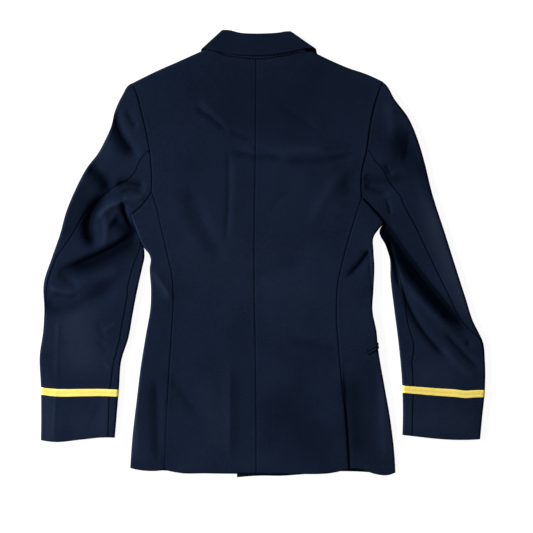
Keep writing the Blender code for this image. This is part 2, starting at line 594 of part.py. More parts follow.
def floor_below(piece, x, y):
    """Height of the level that a lower piece lies on, from the pieces that are beneath it."""
    layer = CLOTH + LAYER_GAP
    side = "left" if piece.endswith("left") else "right"
    jets = (JET_GAP + JET_THICK) * over(x, y, jet_outline(side))
    if piece.startswith("side"):
        return jets
    ends = layer * over(x, y, outline(collar_shapes()[1 if side == "left" else 2]))
    if piece == "front_left":
        buttons = np.zeros(np.shape(x))
        for bx in BUTTON_COLUMNS:
            for by in BUTTON_ROWS:
                buttons = np.maximum(buttons, over(x, y, disc(bx, by, BUTTON_RADIUS)))
        lapel = layer * over(x, y, outline(lapel_shape("left")))
        return np.max(((BUTTON_HEIGHT + LAYER_GAP) * buttons, lapel, ends, jets), axis=0)
    level = np.interp(y, *np.array(RIGHT_LEVEL).T)
    if piece == "lapel_right":
        return level
    on_left = level * over(x, y, outline(body_shapes("left")[3]))
    on_lapel = (level + CLOTH + LAPEL_GAP) * over(x, y, outline(lapel_shape("right")))
    return np.max((on_left, on_lapel, ends, jets), axis=0)


def make_front(side, finish, collection):
    """A front from the armhole and side seam to the neckline and front edge, folded up at the shoulder."""
    shape = body_shapes(side)[3]

    def skin(share, row, depth):
        v, lift = down_the_panel(row, depth, np.zeros(len(row), bool))
        width = span(shape, v)
        outer_gap = np.where(row_places(row)[1] > 0.0, SEAM_GAP, ARMHOLE_GAP) / 2
        plan = shape(inset_share(share, width, outer_gap, SEAM_GAP / 2), v)
        top = height(plan[:, 0], plan[:, 1], "body")
        floor = floor_below("front_" + side, plan[:, 0], plan[:, 1])
        middle = 0.5 * top
        z = middle + (floor + depth - middle) * lift - SEAM_GAP / 2 * (1.0 - lift)
        return solid_points(plan, z)

    wall("front_" + side, COLUMNS_FRONT, ROWS_BODY, skin, finish, collection)


def make_side(side, finish, collection):
    """A side panel from the side-back seam, round the side edge, to the side-front seam."""
    _, above, below, _ = body_shapes(side)

    def skin(share, row, depth):
        v = row / ROWS_SEAM
        v = (ARMHOLE_GAP / 2 + v * (SIDE_LENGTH - ARMHOLE_GAP / 2)) / SIDE_LENGTH
        width_above = span(above, v)
        width_below = span(below, v)
        start = width_above + ROLL_SPARE - SEAM_GAP / 2
        end = -(width_below + ROLL_SPARE - SEAM_GAP / 2)
        run = columns(start, end, (0.0 * start,), share)
        on_top = run >= 0.0
        width = np.where(on_top, width_above, width_below)
        distance, lift = round_edge(np.abs(run), width, True, False, depth)
        u = distance / width
        plan = np.where(on_top[:, None], above(u, v), below(u, v))
        top = height(plan[:, 0], plan[:, 1], "body")
        floor = floor_below("side_" + side, plan[:, 0], plan[:, 1])
        return solid_points(plan, stacked(top, floor, lift, on_top, depth))

    wall("side_" + side, COLUMNS_SIDE, ROWS_SEAM, skin, finish, collection)


def make_vent(side, finish, collection):
    """The underlap of a side vent, beneath the edge of the back panel."""
    line = curve(SIDE_BACK[side])
    inwards = 1.0 if side == "left" else -1.0

    def skin(share, row, depth):
        v = VENT_TOP + (1.0 - VENT_TOP) * (row / ROWS_VENT) - 0.002
        plan = line(v)
        plan[:, 0] += inwards * (SEAM_GAP + share * VENT_LAP)
        z = height(plan[:, 0], plan[:, 1], "body") - CLOTH - VENT_GAP - depth
        return solid_points(plan, z)

    wall("vent_" + side, 2, ROWS_VENT, skin, finish, collection)


def make_lapel(side, finish, collection):
    """A lapel turned out along the roll line, beneath its front."""
    shape = lapel_shape(side)

    def skin(share, row, depth):
        plan = shape(share, row / ROWS_LAPEL)
        floor = 0.0
        if side == "right":
            floor = floor_below("lapel_right", plan[:, 0], plan[:, 1])
        return solid_points(plan, floor + depth)

    wall("lapel_" + side, COLUMNS_LAPEL, ROWS_LAPEL, skin, finish, collection)


def make_collar(finish, under, collection):
    """The collar leaf, folded round both sides of the neck, and the stand beneath it."""
    back, left, right = collar_shapes()

    def leaf(share, row, depth):
        v = row / ROWS_COLLAR
        widths = [span(shape, v) for shape in (left, back, right)]
        first = widths[0] + ROLL_SPARE
        second = first + widths[1] + 2 * ROLL_SPARE
        total = second + widths[2] + ROLL_SPARE
        run = columns(0.0 * v, total, (first, second), share)
        on_left = run < first
        on_right = run > second
        left_at, left_lift = round_edge(first - run, widths[0], True, False, depth)
        back_at, back_lift = round_edge(run - first, widths[1], True, True, depth)
        right_at, right_lift = round_edge(run - second, widths[2], True, False, depth)
        plan = np.where(on_left[:, None], left(left_at / widths[0], v),
                        np.where(on_right[:, None], right(right_at / widths[2], v),
                                 back(back_at / widths[1], v)))
        lift = np.where(on_left, left_lift, np.where(on_right, right_lift, back_lift))
        z = stacked(LEAF_TOP, 0.0, lift, ~(on_left | on_right), depth)
        return solid_points(plan, z)

    def stand(share, row, depth):
        shape = patch(curve((STAND_TOP[0], STAND_HEM[0])), curve((STAND_TOP[-1], STAND_HEM[-1])),
                      curve(STAND_TOP), curve(STAND_HEM))
        plan = shape(share, row / 2)
        return solid_points(plan, LEAF_TOP - CLOTH - LAYER_GAP - depth)

    wall("collar_leaf", COLUMNS_COLLAR, ROWS_COLLAR, leaf, finish, collection)
    wall("collar_stand", 10, 2, stand, under, collection)


def lace_shares(line, middle):
    """The shares of a sleeve's edge at the upper and the lower edge of its lace."""
    t = np.linspace(0.5, 1.0, 400)
    y = line(t)[:, 1]
    return [np.interp(-level, -y, t) for level in (middle + LACE_WIDTH / 2, middle - LACE_WIDTH / 2)]


def sleeve_shapes(side):
    """Plan patches of a sleeve's upper and lower sides: u from the outer edge, v down its rows.

    The first rows fan round from the armhole to the underarm, and two rows are the edges of the lace."""
    outer = curve(SLEEVE_OUTER[side])
    inner = curve(SLEEVE_INNER[side])
    hem = curve(CUFF_HEM[side])
    rows = np.array((0, ROWS_CAP, ROWS_CAP + ROWS_ARM, ROWS_CAP + ROWS_ARM + 1, ROWS_SLEEVE)) / ROWS_SLEEVE
    t = np.linspace(0.0, 0.6, 400)
    level = np.interp(-CAP_LEVEL, -outer(t)[:, 1], t)
    outer_shares = [0.0, level, *lace_shares(outer, LACE_MIDDLE[side][0]), 1.0]
    inner_shares = [0.0, *lace_shares(inner, LACE_MIDDLE[side][1]), 1.0]
    away = -SLEEVE_GAP if side == "left" else SLEEVE_GAP

    def outer_edge(v):
        return outer(np.interp(v, rows, outer_shares))

    def with_top(armhole, under):
        shifted = [(x + away, y) for x, y in armhole]
        under_points = [(x + away, y + 0.5 * SLEEVE_GAP) for x, y in under[:-1]]
        under_line = curve(under_points + [SLEEVE_INNER[side][0]])

        def inner_edge(v):
            v = np.asarray(v, float)
            above = under_line(np.clip(v / rows[1], 0.0, 1.0))
            below = inner(np.interp(v, rows[1:], inner_shares))
            return np.where((v < rows[1])[..., None], above, below)

        return patch(outer_edge, inner_edge, curve(shifted), hem)

    return (with_top(ARMHOLE_BACK[side], ARMHOLE_UNDER[side]),
            with_top(ARMHOLE_FRONT[side], ARMHOLE_FRONT_UNDER[side]))


def seam_runs(shape, table, v):
    """Plan distance of a seam from the outer edge, on the rows at v."""
    places = np.array([locate(shape, x, y) for x, y in table])
    distance = places[:, 0] * span(shape, places[:, 1])
    return np.interp(v, places[:, 1], distance), places[:, 1]


def cloth_run(distance):
    """Run along the cloth round a folded edge to a plan distance from it."""
    rolled = EDGE_ROLL * np.arccos(np.clip(1.0 - distance / EDGE_ROLL, 0.0, 1.0))
    return np.where(distance < EDGE_ROLL, rolled, distance + ROLL_SPARE)


def sleeve_piece(side, piece):
    """The places of a top or under sleeve, or of the lace round both, moved out by a depth below 0."""
    above, below = sleeve_shapes(side)

    def skin(share, row, depth):
        v = row / ROWS_SLEEVE
        closed = np.clip((row - ROWS_CAP + 1) / 2, 0.0, 1.0)
        width_above = span(above, v) + EDGE_ROLL * (1.0 - closed)
        width_below = span(below, v) + EDGE_ROLL * (1.0 - closed)
        distance, known = seam_runs(above, HIND_SEAM[side], v)
        hind = cloth_run(distance)
        past = np.clip((v - known[-1]) / (1.0 - known[-1]), 0.0, 1.0)
        hind = hind + (HIND_END - hind) * ease(4.0 * past)
        distance, known = seam_runs(above, FOREARM_SEAM[side], v)
        fore = cloth_run(np.maximum(span(above, v) - distance, 0.0))
        fore = fore * ease((row - ROWS_CAP) / FOREARM_START)
        full_above = width_above + 2 * ROLL_SPARE
        full_below = width_below + 2 * ROLL_SPARE
        open_arc = ROLL_ARC * (1.0 - closed)
        if piece == "under":
            end = full_above - open_arc - fore - SLEEVE_SEAM_GAP / 2
            run = columns(hind + SLEEVE_SEAM_GAP / 2, end, (0.0 * hind, full_above), share)
            on_top = run >= 0.0
            run = np.abs(run)
        else:
            end = hind + full_below - open_arc + fore - SLEEVE_SEAM_GAP / 2
            path = columns(0.0 * hind + SLEEVE_SEAM_GAP / 2, end, (hind, hind + full_below), share)
            before = path < hind
            after = path > hind + full_below
            on_top = before | after
            run = np.where(after, full_above - (path - hind - full_below), np.abs(path - hind))
        width = np.where(on_top, width_above, width_below)
        distance, lift = round_edge(run, width, True, True, depth)
        u = distance / np.where(on_top, span(above, v), span(below, v))
        plan = np.where(on_top[:, None], above(u, v), below(u, v))
        top = height(plan[:, 0], plan[:, 1], side)
        floor = CUFF_LIFT * ease((-150.0 - plan[:, 1]) / 50.0)
        return solid_points(plan, stacked(top, floor, lift, on_top, depth))

    return skin


def make_sleeve(side, finish, collection):
    """A two-piece sleeve."""
    for piece, count in (("top", COLUMNS_TOP_SLEEVE), ("under", COLUMNS_UNDER_SLEEVE)):
        wall("sleeve_" + side + "_" + piece, count, ROWS_SLEEVE, sleeve_piece(side, piece), finish, collection)


def make_lace(side, finish, collection):
    """A band of lace round the cuff, made from the sleeve's own places and moved out."""
    def ring(row, depth):
        parts = []
        for piece, count in (("top", COLUMNS_TOP_SLEEVE), ("under", COLUMNS_UNDER_SLEEVE)):
            share = np.arange(count + 1) / count
            rows = np.full(count + 1, row)
            depths = np.full(count + 1, depth)
            parts.append(sleeve_piece(side, piece)(share, rows, depths))
        return np.concatenate([parts[0], parts[1][::-1]]) - (*CENTRE, 0.0)

    outer = -(SEAM_GAP + LACE_THICK)
    upper = ROWS_CAP + ROWS_ARM
    rings = [ring(upper, -SEAM_GAP), ring(upper, outer), ring(upper + 1, outer), ring(upper + 1, -SEAM_GAP)]
    bm = bmesh.new()
    loops = [[bm.verts.new(point * MM) for point in places] for places in rings]
    count = len(loops[0])
    for i in range(4):
        near, far = loops[i], loops[(i + 1) % 4]
        for k in range(count):
            n = (k + 1) % count
            bm.faces.new((near[k], near[n], far[n], far[k]))
    place_object("lace_" + side, bm, finish, collection)


def make_jets(side, finish, collection):
    """The two jets of a hip pocket, which lie on the side panel and on the front."""
    out = -1.0 if side == "left" else 1.0
    edge = edge_x(side, JET_EDGE_Y)

    for name, offset in (("upper", 0.5 * JET_WIDTH), ("lower", -0.5 * JET_WIDTH)):
        def skin(share, row, depth, offset=offset):
            across = offset + (row - 0.5) * (JET_WIDTH - SEAM_GAP)
            start = np.full(len(share), JET_START[side])
            end = np.full(len(share), -JET_LENGTH)
            run = columns(start, end, (0.0 * start,), share)
            on_top = run >= 0.0
            thick = depth * JET_THICK / CLOTH - JET_GAP - JET_THICK
            distance, lift = round_edge(np.abs(run), JET_LENGTH, True, False, thick)
            slope = np.where(on_top, -JET_SLOPE_TOP, JET_SLOPE_UNDER)
            y = JET_EDGE_Y + across + slope * distance
            plan = np.stack([edge_x(side, y) - out * distance, y], -1)
            top = height(plan[:, 0], plan[:, 1], "body")
            floor = JET_GAP + JET_THICK
            return solid_points(plan, stacked(top, floor, lift, on_top, thick))

        wall("jet_" + side + "_" + name, COLUMNS_JET, 1, skin, finish, collection)


def make_button(name, x, y, finish, collection):
    """A plain domed button, face down: the dome, a narrow rim and the flat back."""
    profile = [(0.0, BUTTON_HEIGHT), (BUTTON_RADIUS - 0.5, BUTTON_HEIGHT),
               (BUTTON_RADIUS, BUTTON_HEIGHT - 0.5), (BUTTON_RADIUS, BUTTON_DOME)]
    for degrees in (60.0, 35.0, 12.0, 0.0):
        turn = math.radians(degrees)
        profile.append((BUTTON_RADIUS * math.sin(turn), BUTTON_DOME * (1 - math.cos(turn))))
    mesh = bpy.data.meshes.new(name)
    points = [(px * MM, 0.0, pz * MM) for px, pz in profile]
    mesh.from_pydata(points, [(i, i + 1) for i in range(len(profile) - 1)], [])
    mesh.materials.append(finish)
    button = bpy.data.objects.new(name, mesh)
    button.location = ((x - CENTRE[0]) * MM, (y - CENTRE[1]) * MM, 0.0)
    collection.objects.link(button)
    screw = button.modifiers.new("Turn", "SCREW")
    screw.steps = 16
    screw.render_steps = 16
    screw.use_merge_vertices = True
    screw.merge_threshold = 0.0001


def main():
    for old in list(bpy.data.objects):
        bpy.data.objects.remove(old, do_unlink=True)
    jacket = bpy.data.collections.new("naval_dress_jacket")
    bpy.context.scene.collection.children.link(jacket)
    navy = material("navy_wool", NAVY, 0.75)
    navy_under = material("navy_wool_under", NAVY_UNDER, 0.8)
    gold = material("gold_lace", GOLD, 0.45, 0.4)
    gilt = material("gilt_brass", GILT, 0.25, 1.0)
    for side in ("left", "right"):
        make_back(side, navy, jacket)
        make_side(side, navy, jacket)
        make_vent(side, navy_under, jacket)
        make_front(side, navy, jacket)
        make_lapel(side, navy, jacket)
        make_sleeve(side, navy, jacket)
        make_lace(side, gold, jacket)
        make_jets(side, navy_under, jacket)
    make_collar(navy, navy_under, jacket)
    places = [(x, y) for x in BUTTON_COLUMNS for y in BUTTON_ROWS]
    for number, (x, y) in enumerate(places, 1):
        make_button(f"button_{number}", x, y, gilt, jacket)


main()
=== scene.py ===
import math
import bmesh
import bpy
import numpy as np
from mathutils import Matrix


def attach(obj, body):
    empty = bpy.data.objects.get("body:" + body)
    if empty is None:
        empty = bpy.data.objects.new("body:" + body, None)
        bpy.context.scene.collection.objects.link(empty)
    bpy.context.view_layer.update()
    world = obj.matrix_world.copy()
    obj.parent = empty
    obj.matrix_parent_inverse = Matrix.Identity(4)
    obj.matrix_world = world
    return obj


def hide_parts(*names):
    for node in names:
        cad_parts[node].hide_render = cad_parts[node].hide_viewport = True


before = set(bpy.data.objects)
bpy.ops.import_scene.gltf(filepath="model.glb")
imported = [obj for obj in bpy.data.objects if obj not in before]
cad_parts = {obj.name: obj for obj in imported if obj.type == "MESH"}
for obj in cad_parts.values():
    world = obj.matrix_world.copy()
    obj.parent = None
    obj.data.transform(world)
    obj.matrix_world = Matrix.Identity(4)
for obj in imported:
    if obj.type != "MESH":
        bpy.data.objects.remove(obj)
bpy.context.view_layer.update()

print("frame loaded")

# Everything is worked out in millimetres, in the frame of the tables, and turned to metres in the meshes.
# centre is what that frame is shifted by, pixel the millimetres to a pixel of the photograph, and origin
# the pixel that stands for x = 0, y = 0.
jacket = {
    "centre": (-0.9, 0.56),
    "pixel": 1.8,
    "origin": (263.0, 254.0),
    "cloth": 1.35,
    "metres": 0.001,        # of a millimetre
    "sharpAngle": 50,
    "seamGap": 0.015,
    "armholeGap": 0.5,
    "roll": 4.5,            # how far in from a folded edge the cloth reaches its full height
    "levelShifts": (-36, -24, -12, 0, 12, 24, 36),
    "swellTop": 330.0,      # the body's swells fade to nothing at this y, over swellFade
    "swellFade": 60.0,
    "leastHeight": 3.3,
    "leastSlope": 0.15,
    "foldTone": 6.0,        # the lift of a fold at which its painted highlight is full, or its painted shade in a trough
    "stepReach": 30.0,      # cloth stays raised this far round a piece beneath it, and comes down
    "stepLength": 25.0,     # over this length
}

# The curves of the solids, x, y. Only the sleeves' inner edges at the underarm and the stand's hem differ.
neck = {
    "left": ((-12.6, 350.1), (-43.2, 353.0), (-67.1, 356.9), (-86.4, 364.1), (-104.0, 368.0)),
    "right": ((-12.6, 350.1), (5.4, 350.8), (28.8, 354.4), (45.0, 356.6), (61.2, 360.9), (90.0, 363.8)),
}
shoulder = {
    "left": ((-104.0, 368.0), (-149.4, 347.4), (-185.4, 331.6), (-210.6, 319.6), (-234.9, 307.2)),
    "right": ((90.0, 363.8), (122.4, 347.8), (156.6, 333.4), (183.6, 324.4), (216.0, 309.4)),
}
armholeBack = {
    "left": ((-234.9, 307.2), (-226.8, 288.0), (-216.0, 246.6), (-205.2, 196.9), (-200.6, 155.0),
             (-199.8, 130.5), (-200.6, 112.5)),
    "right": ((216.0, 309.4), (200.9, 268.9), (192.1, 226.8), (186.5, 185.4), (177.3, 144.0),
              (176.4, 127.8), (177.6, 101.5)),
}
armholeUnder = {
    "left": ((-200.6, 112.5), (-207.0, 101.0), (-218.7, 86.4), (-238.5, 70.5)),
    "right": ((177.6, 101.5), (195.3, 82.8), (210.0, 65.5), (218.6, 54.6)),
}
armholeFront = {
    "left": ((-234.9, 307.2), (-213.0, 262.0), (-198.0, 215.0), (-189.0, 165.0), (-190.0, 125.0),
             (-203.0, 98.0)),
    "right": ((216.0, 309.4), (194.0, 262.0), (179.0, 215.0), (168.0, 165.0), (168.0, 122.0),
              (180.0, 93.0)),
}
armholeFrontUnder = {
    "left": ((-203.0, 98.0), (-217.0, 84.0), (-238.5, 70.5)),
    "right": ((180.0, 93.0), (196.0, 76.0), (218.6, 54.6)),
}
centreBack = ((-12.6, 350.1), (-13.7, 169.2), (-15.7, 25.2), (-15.1, -82.8), (-13.5, -180.0),
              (-12.2, -395.0))
sideBack = {
    "left": ((-200.6, 112.5), (-192.6, 88.0), (-181.8, 41.4), (-171.5, -1.8), (-162.4, -46.8),
             (-161.1, -77.4), (-164.7, -147.6), (-169.2, -219.6), (-172.8, -282.6), (-176.4, -388.5)),
    "right": ((177.6, 101.5), (162.0, 52.9), (145.4, -5.4), (135.0, -52.2), (132.3, -109.1),
              (136.8, -175.5), (142.7, -241.2), (149.4, -297.0), (154.6, -386.5)),
}
bodyEdge = {
    "left": ((-238.5, 70.5), (-229.7, 46.8), (-213.1, 9.9), (-205.0, 0.0), (-202.0, -9.0), (-203.6, -24.0),
             (-201.6, -62.1), (-202.0, -90.0), (-211.7, -151.2), (-220.0, -203.4), (-227.5, -264.6),
             (-235.3, -333.0), (-238.9, -385.0)),
    "right": ((218.6, 54.6), (207.3, 43.4), (198.6, 29.3), (198.6, 8.0), (200.4, -20.0), (198.7, -65.0),
              (197.0, -100.8), (204.6, -142.0), (206.6, -165.0), (218.9, -239.4), (228.6, -294.7),
              (236.8, -365.0), (238.3, -393.0)),
}
sideFront = {
    "left": ((-203.0, 98.0), (-196.0, 55.0), (-190.0, 5.0), (-189.0, -60.0), (-193.0, -120.0),
             (-196.0, -190.0), (-195.0, -270.0), (-193.5, -389.0)),
    "right": ((180.0, 93.0), (185.0, 50.0), (187.5, 5.0), (188.5, -60.0), (190.0, -120.0),
              (195.0, -190.0), (206.0, -270.0), (213.0, -395.0)),
}
hemBack = {
    "left": ((-12.2, -395.0), (-57.6, -395.2), (-105.1, -394.6), (-146.7, -394.2), (-176.4, -388.5)),
    "right": ((-12.2, -395.0), (66.6, -396.0), (126.0, -393.5), (154.6, -386.5)),
}
hemSide = {
    "left": ((-176.4, -388.5), (-218.7, -389.2), (-238.9, -385.0)),
    "right": ((154.6, -386.5), (176.4, -388.0), (203.4, -396.2), (223.2, -398.0), (238.3, -393.0)),
}
hemUnder = {
    "left": ((-193.5, -389.0), (-218.7, -389.0), (-238.9, -385.0)),
    "right": ((213.0, -395.0), (225.0, -397.0), (238.3, -393.0)),
}
hemFront = {
    "left": ((70.0, -393.0), (0.0, -393.5), (-90.0, -392.5), (-193.5, -389.0)),
    "right": ((-46.8, -401.8), (-5.0, -398.8), (32.0, -399.0), (66.0, -396.8), (140.0, -391.0),
              (213.0, -395.0)),
}
neckline = {
    "left": ((-104.0, 368.0), (-88.0, 352.0), (-72.0, 336.0), (-24.7, 242.3), (22.7, 148.7), (70.0, 55.0)),
    "right": ((90.0, 363.8), (74.0, 350.0), (56.0, 336.0), (21.7, 242.3), (-12.5, 148.7), (-46.8, 55.0)),
}
frontEdge = {
    "left": ((70.0, 55.0), (70.0, -100.0), (70.0, -250.0), (70.0, -393.0)),
    "right": ((-46.8, 55.0), (-46.8, -100.0), (-46.8, -250.0), (-46.8, -401.8)),
}
rollLine = {
    "left": ((-73.5, 335.0), (-49.0, 286.0), (20.0, 150.0), (66.0, 60.0)),
    "right": ((57.5, 335.0), (38.0, 286.0), (-13.0, 146.0), (-43.0, 62.0)),
}
lapelEdge = {
    "left": ((-137.0, 254.0), (-105.0, 185.0), (-52.0, 122.0), (12.0, 84.0), (62.0, 57.5)),
    "right": ((121.0, 254.0), (90.0, 185.0), (44.0, 122.0), (-8.0, 84.0), (-39.0, 58.5)),
}
gorge = {
    "left": ((-73.5, 335.0), (-87.0, 305.0), (-99.0, 278.0), (-113.0, 260.0), (-137.0, 254.0)),
    "right": ((57.5, 335.0), (71.0, 305.0), (83.0, 278.0), (97.0, 260.0), (121.0, 254.0)),
}
collarRoll = {
    "left": ((-73.8, 402.7), (-77.0, 370.0), (-77.0, 338.0), (-89.0, 308.0), (-100.5, 285.0)),
    "right": ((50.4, 400.5), (55.0, 370.0), (60.5, 338.0), (73.0, 308.0), (84.5, 285.0)),
}
collarEnd = {
    "left": ((-110.7, 369.0), (-118.0, 340.0), (-124.0, 315.0), (-130.0, 291.0)),
    "right": ((95.4, 369.0), (102.0, 340.0), (108.0, 315.0), (114.0, 291.0)),
}
collarTop = ((-73.8, 402.7), (-62.3, 402.7), (-41.4, 397.8), (-18.9, 396.4), (5.4, 396.7), (28.8, 398.3),
             (41.4, 400.3), (50.4, 400.5))
collarHem = ((-110.7, 369.0), (-82.8, 364.1), (-59.4, 359.3), (-34.9, 356.9), (-10.8, 356.6), (12.6, 357.7),
             (37.8, 360.9), (61.2, 365.8), (78.0, 369.2), (95.4, 369.0))
standTop = ((-67.0, 396.5), (-41.4, 394.5), (-7.0, 393.3), (24.0, 395.0), (43.0, 396.5))
standHem = ((-97.0, 365.0), (86.0, 363.7))
sleeveOuter = {
    "left": ((-234.9, 307.2), (-241.0, 304.6), (-253.8, 285.5), (-268.2, 253.8), (-273.6, 230.4),
             (-284.4, 205.2), (-298.8, 178.9), (-315.0, 158.4), (-339.1, 113.4), (-354.6, 75.6),
             (-365.4, 36.0), (-380.7, -8.1), (-394.6, -52.2), (-393.8, -103.5), (-395.5, -136.8),
             (-401.9, -183.6), (-399.8, -235.8), (-399.6, -334.8)),
    "right": ((216.0, 309.4), (222.5, 303.5), (236.9, 279.0), (261.9, 245.3), (279.9, 203.4),
              (290.9, 166.5), (304.2, 111.6), (329.4, 32.4), (349.2, -30.6), (365.4, -81.0),
              (378.7, -122.4), (388.0, -141.0), (395.3, -156.6), (399.4, -192.6), (399.4, -243.0),
              (394.2, -295.2), (390.6, -333.2)),
}
sleeveInner = {
    "left": ((-238.6, 70.5), (-229.6, 46.2), (-213.6, 9.4), (-213.2, -6.0), (-217.3, -25.2),
             (-225.5, -62.1), (-234.0, -106.2), (-242.1, -151.2), (-254.6, -190.8), (-258.8, -240.7),
             (-266.4, -330.4)),
    "right": ((219.1, 54.3), (210.0, 41.0), (221.0, 14.4), (228.1, -9.0), (229.1, -39.6), (235.4, -95.4),
              (243.9, -162.0), (250.2, -234.5), (250.6, -325.6)),
}
cuffHem = {
    "left": ((-399.6, -334.8), (-378.0, -338.0), (-326.7, -333.9), (-290.0, -330.2), (-266.4, -330.4)),
    "right": ((390.6, -333.2), (363.6, -334.4), (308.9, -332.1), (284.4, -329.4), (250.6, -325.6)),
}
hindSeam = {
    "left": ((-205.0, 184.0), (-221.4, 166.5), (-254.7, 127.8), (-293.4, 99.0), (-321.1, 72.0),
             (-345.6, 30.6), (-371.7, -6.7), (-386.1, -49.5), (-390.5, -90.0)),
    "right": ((188.0, 186.5), (200.9, 169.2), (225.9, 131.4), (248.4, 102.6), (270.0, 58.5),
              (297.9, 0.0), (320.4, -46.8), (347.4, -103.5), (369.9, -135.0), (388.5, -150.0)),
}
forearmSeam = {
    "left": ((-224.1, 23.8), (-234.0, -23.4), (-243.5, -75.6), (-253.3, -126.0), (-264.2, -181.1),
             (-274.5, -240.7), (-277.2, -286.2), (-278.6, -331.2)),
    "right": ((238.0, -15.0), (254.9, -73.1), (262.4, -131.4), (267.8, -194.4), (269.6, -270.0),
              (268.7, -326.0)),
}

# height of the top cloth along the jacket: y, body, sleeves
heights = ((-400.0, 6.4, 7.0), (-250.0, 8.4, 8.0), (-150.0, 10.0, 8.6), (-80.0, 10.4, 9.0),
           (60.0, 11.2, 10.0), (200.0, 11.2, 11.0), (310.0, 11.4, 11.4), (360.0, 10.2, 11.4))
rightLevel = ((-400.0, 2.2), (-300.0, 2.2), (-205.0, 5.2), (105.0, 5.2), (165.0, 3.8), (400.0, 3.8))

# The largest folds, placed by pixels of the photograph: start, bend and end, then half width and rise in
# millimetres, lean, and how sharp it is from 0, a soft roll, to 1, a crease.
foldsBody = (
    (202, 200, 215, 235, 232, 268, 12.0, 0.4, 0.0, 0.0),
    (186, 176, 203, 220, 228, 266, 12.0, -0.9, 0.0, 0.2),
    (229, 152, 258, 157, 291, 160, 6.0, -2.2, 0.0, 0.5),
    (281, 160, 320, 161, 359, 153, 6.0, -2.0, 0.0, 0.4),
    (233, 148, 290, 152, 348, 148, 10.0, 1.1, 0.0, 0.0),
    (350, 163, 347, 182, 351, 201, 16.0, -1.6, 0.0, 0.2),
    (361, 162, 331, 188, 308, 234, 11.0, 0.9, 0.0, 0.0),
    (369, 249, 362, 261, 344, 280, 9.0, -3.6, 0.3, 0.7),
    (151, 269, 164, 286, 172, 301, 9.0, 2.0, 0.0, 0.4),
    (155, 372, 157, 420, 158, 466, 10.0, -2.0, 0.0, 0.2),
    (351, 368, 356, 415, 359, 468, 18.0, -0.7, 0.0, 0.1),
)
foldsLeft = (
    (115, 106, 121, 134, 141, 160, 12.0, -4.6, -0.3, 0.2),
    (86, 166, 101, 174, 112, 198, 14.0, -3.2, 0.0, 0.2),
    (84, 163, 98, 167, 111, 173, 9.0, 1.2, 0.0, 0.1),
    (115, 185, 130, 183, 148, 187, 8.0, -3.4, 0.0, 0.4),
    (120, 193, 133, 190, 147, 193, 4.5, -1.8, 0.0, 0.5),
    (124, 201, 126, 215, 137, 234, 6.5, -5.0, 0.0, 0.7),
    (112, 219, 124, 227, 139, 238, 14.0, -3.6, 0.0, 0.2),
    (99, 221, 109, 208, 129, 201, 7.0, 2.2, 0.0, 0.2),
    (122, 198, 134, 199, 146, 197, 5.0, 1.6, 0.0, 0.2),
    (113, 188, 89, 221, 99, 251, 11.0, -4.8, 0.0, 0.2),
    (104, 212, 107, 230, 104, 249, 6.5, 1.1, 0.0, 0.1),
    (143, 226, 107, 250, 54, 272, 13.0, -4.4, 0.5, 0.6),
    (127, 268, 96, 278, 64, 284, 12.0, 1.4, 0.0, 0.0),
    (44, 288, 70, 308, 140, 262, 16.0, -2.8, 0.0, 0.1),
    (49, 287, 63, 291, 80, 293, 5.0, 2.0, 0.0, 0.6),
    (53, 293, 66, 296, 82, 297, 5.0, -1.8, 0.0, 0.5),
)
foldsRight = (
    (361, 198, 374, 213, 386, 234, 8.0, -5.0, -0.4, 0.7),
    (368, 200, 419, 274, 472, 336, 12.0, -3.8, -0.4, 0.3),
    (388, 236, 394, 262, 401, 292, 5.0, -3.0, 0.0, 0.4),
    (400, 278, 420, 326, 456, 364, 7.0, -3.0, 0.0, 0.5),
    (392, 262, 424, 303, 470, 346, 8.0, 1.4, 0.0, 0.0),
    (442, 330, 461, 350, 482, 372, 6.0, -2.0, 0.0, 0.4),
    (440, 346, 458, 363, 478, 381, 8.0, 1.0, 0.0, 0.0),
    (388, 100, 392, 121, 393, 145, 12.0, 1.2, 0.0, 0.1),
    (404, 118, 401, 150, 386, 180, 16.0, -1.0, 0.0, 0.1),
    (368, 122, 405, 150, 446, 196, 26.0, -1.2, 0.0, 0.0),
    (363, 176, 380, 181, 419, 178, 10.0, -1.8, 0.0, 0.3),
    (364, 184, 375, 190, 390, 195, 8.0, -1.8, 0.0, 0.3),
)

# Smaller creases, in the same form.
creasesBody = (
    (194, 106, 211, 118, 229, 133, 4.5, -2.2, 0.0, 0.6),
    (199, 102, 213, 112, 229, 127, 6.0, 0.9, 0.0, 0.0),
    (229, 132, 241, 136, 256, 143, 4.5, -1.4, 0.0, 0.6),
    (249, 146, 266, 152, 285, 160, 4.0, -1.3, 0.0, 0.6),
    (321, 150, 340, 148, 359, 148, 4.5, -1.2, 0.0, 0.5),
    (285, 121, 302, 125, 321, 132, 5.0, -0.9, 0.0, 0.4),
    (276, 105, 296, 116, 318, 130, 5.0, -0.9, 0.0, 0.4),
    (227, 146, 229, 190, 225, 252, 5.0, -1.2, 0.0, 0.6),
    (232, 158, 234, 195, 231, 246, 10.0, 0.45, 0.0, 0.0),
    (270, 216, 281, 198, 300, 190, 5.0, -0.45, 0.0, 0.3),
    (288, 338, 315, 346, 346, 351, 9.0, -1.0, 0.0, 0.3),
    (229.5, 356, 229.5, 410, 229, 466, 4.5, 0.8, 0.3, 0.8),
    (240, 280, 275, 270, 306, 256, 14.0, -0.8, 0.0, 0.0),
    (168, 372, 184, 394, 203, 424, 10.0, -0.9, 0.0, 0.1),
    (137, 375, 137, 420, 136, 466, 8.0, 1.0, 0.0, 0.2),
    (383, 375, 384, 420, 386, 466, 9.0, 1.0, 0.0, 0.2),
    (368, 246, 370, 270, 372.5, 294, 1.8, -1.2, 0.0, 0.5),
)
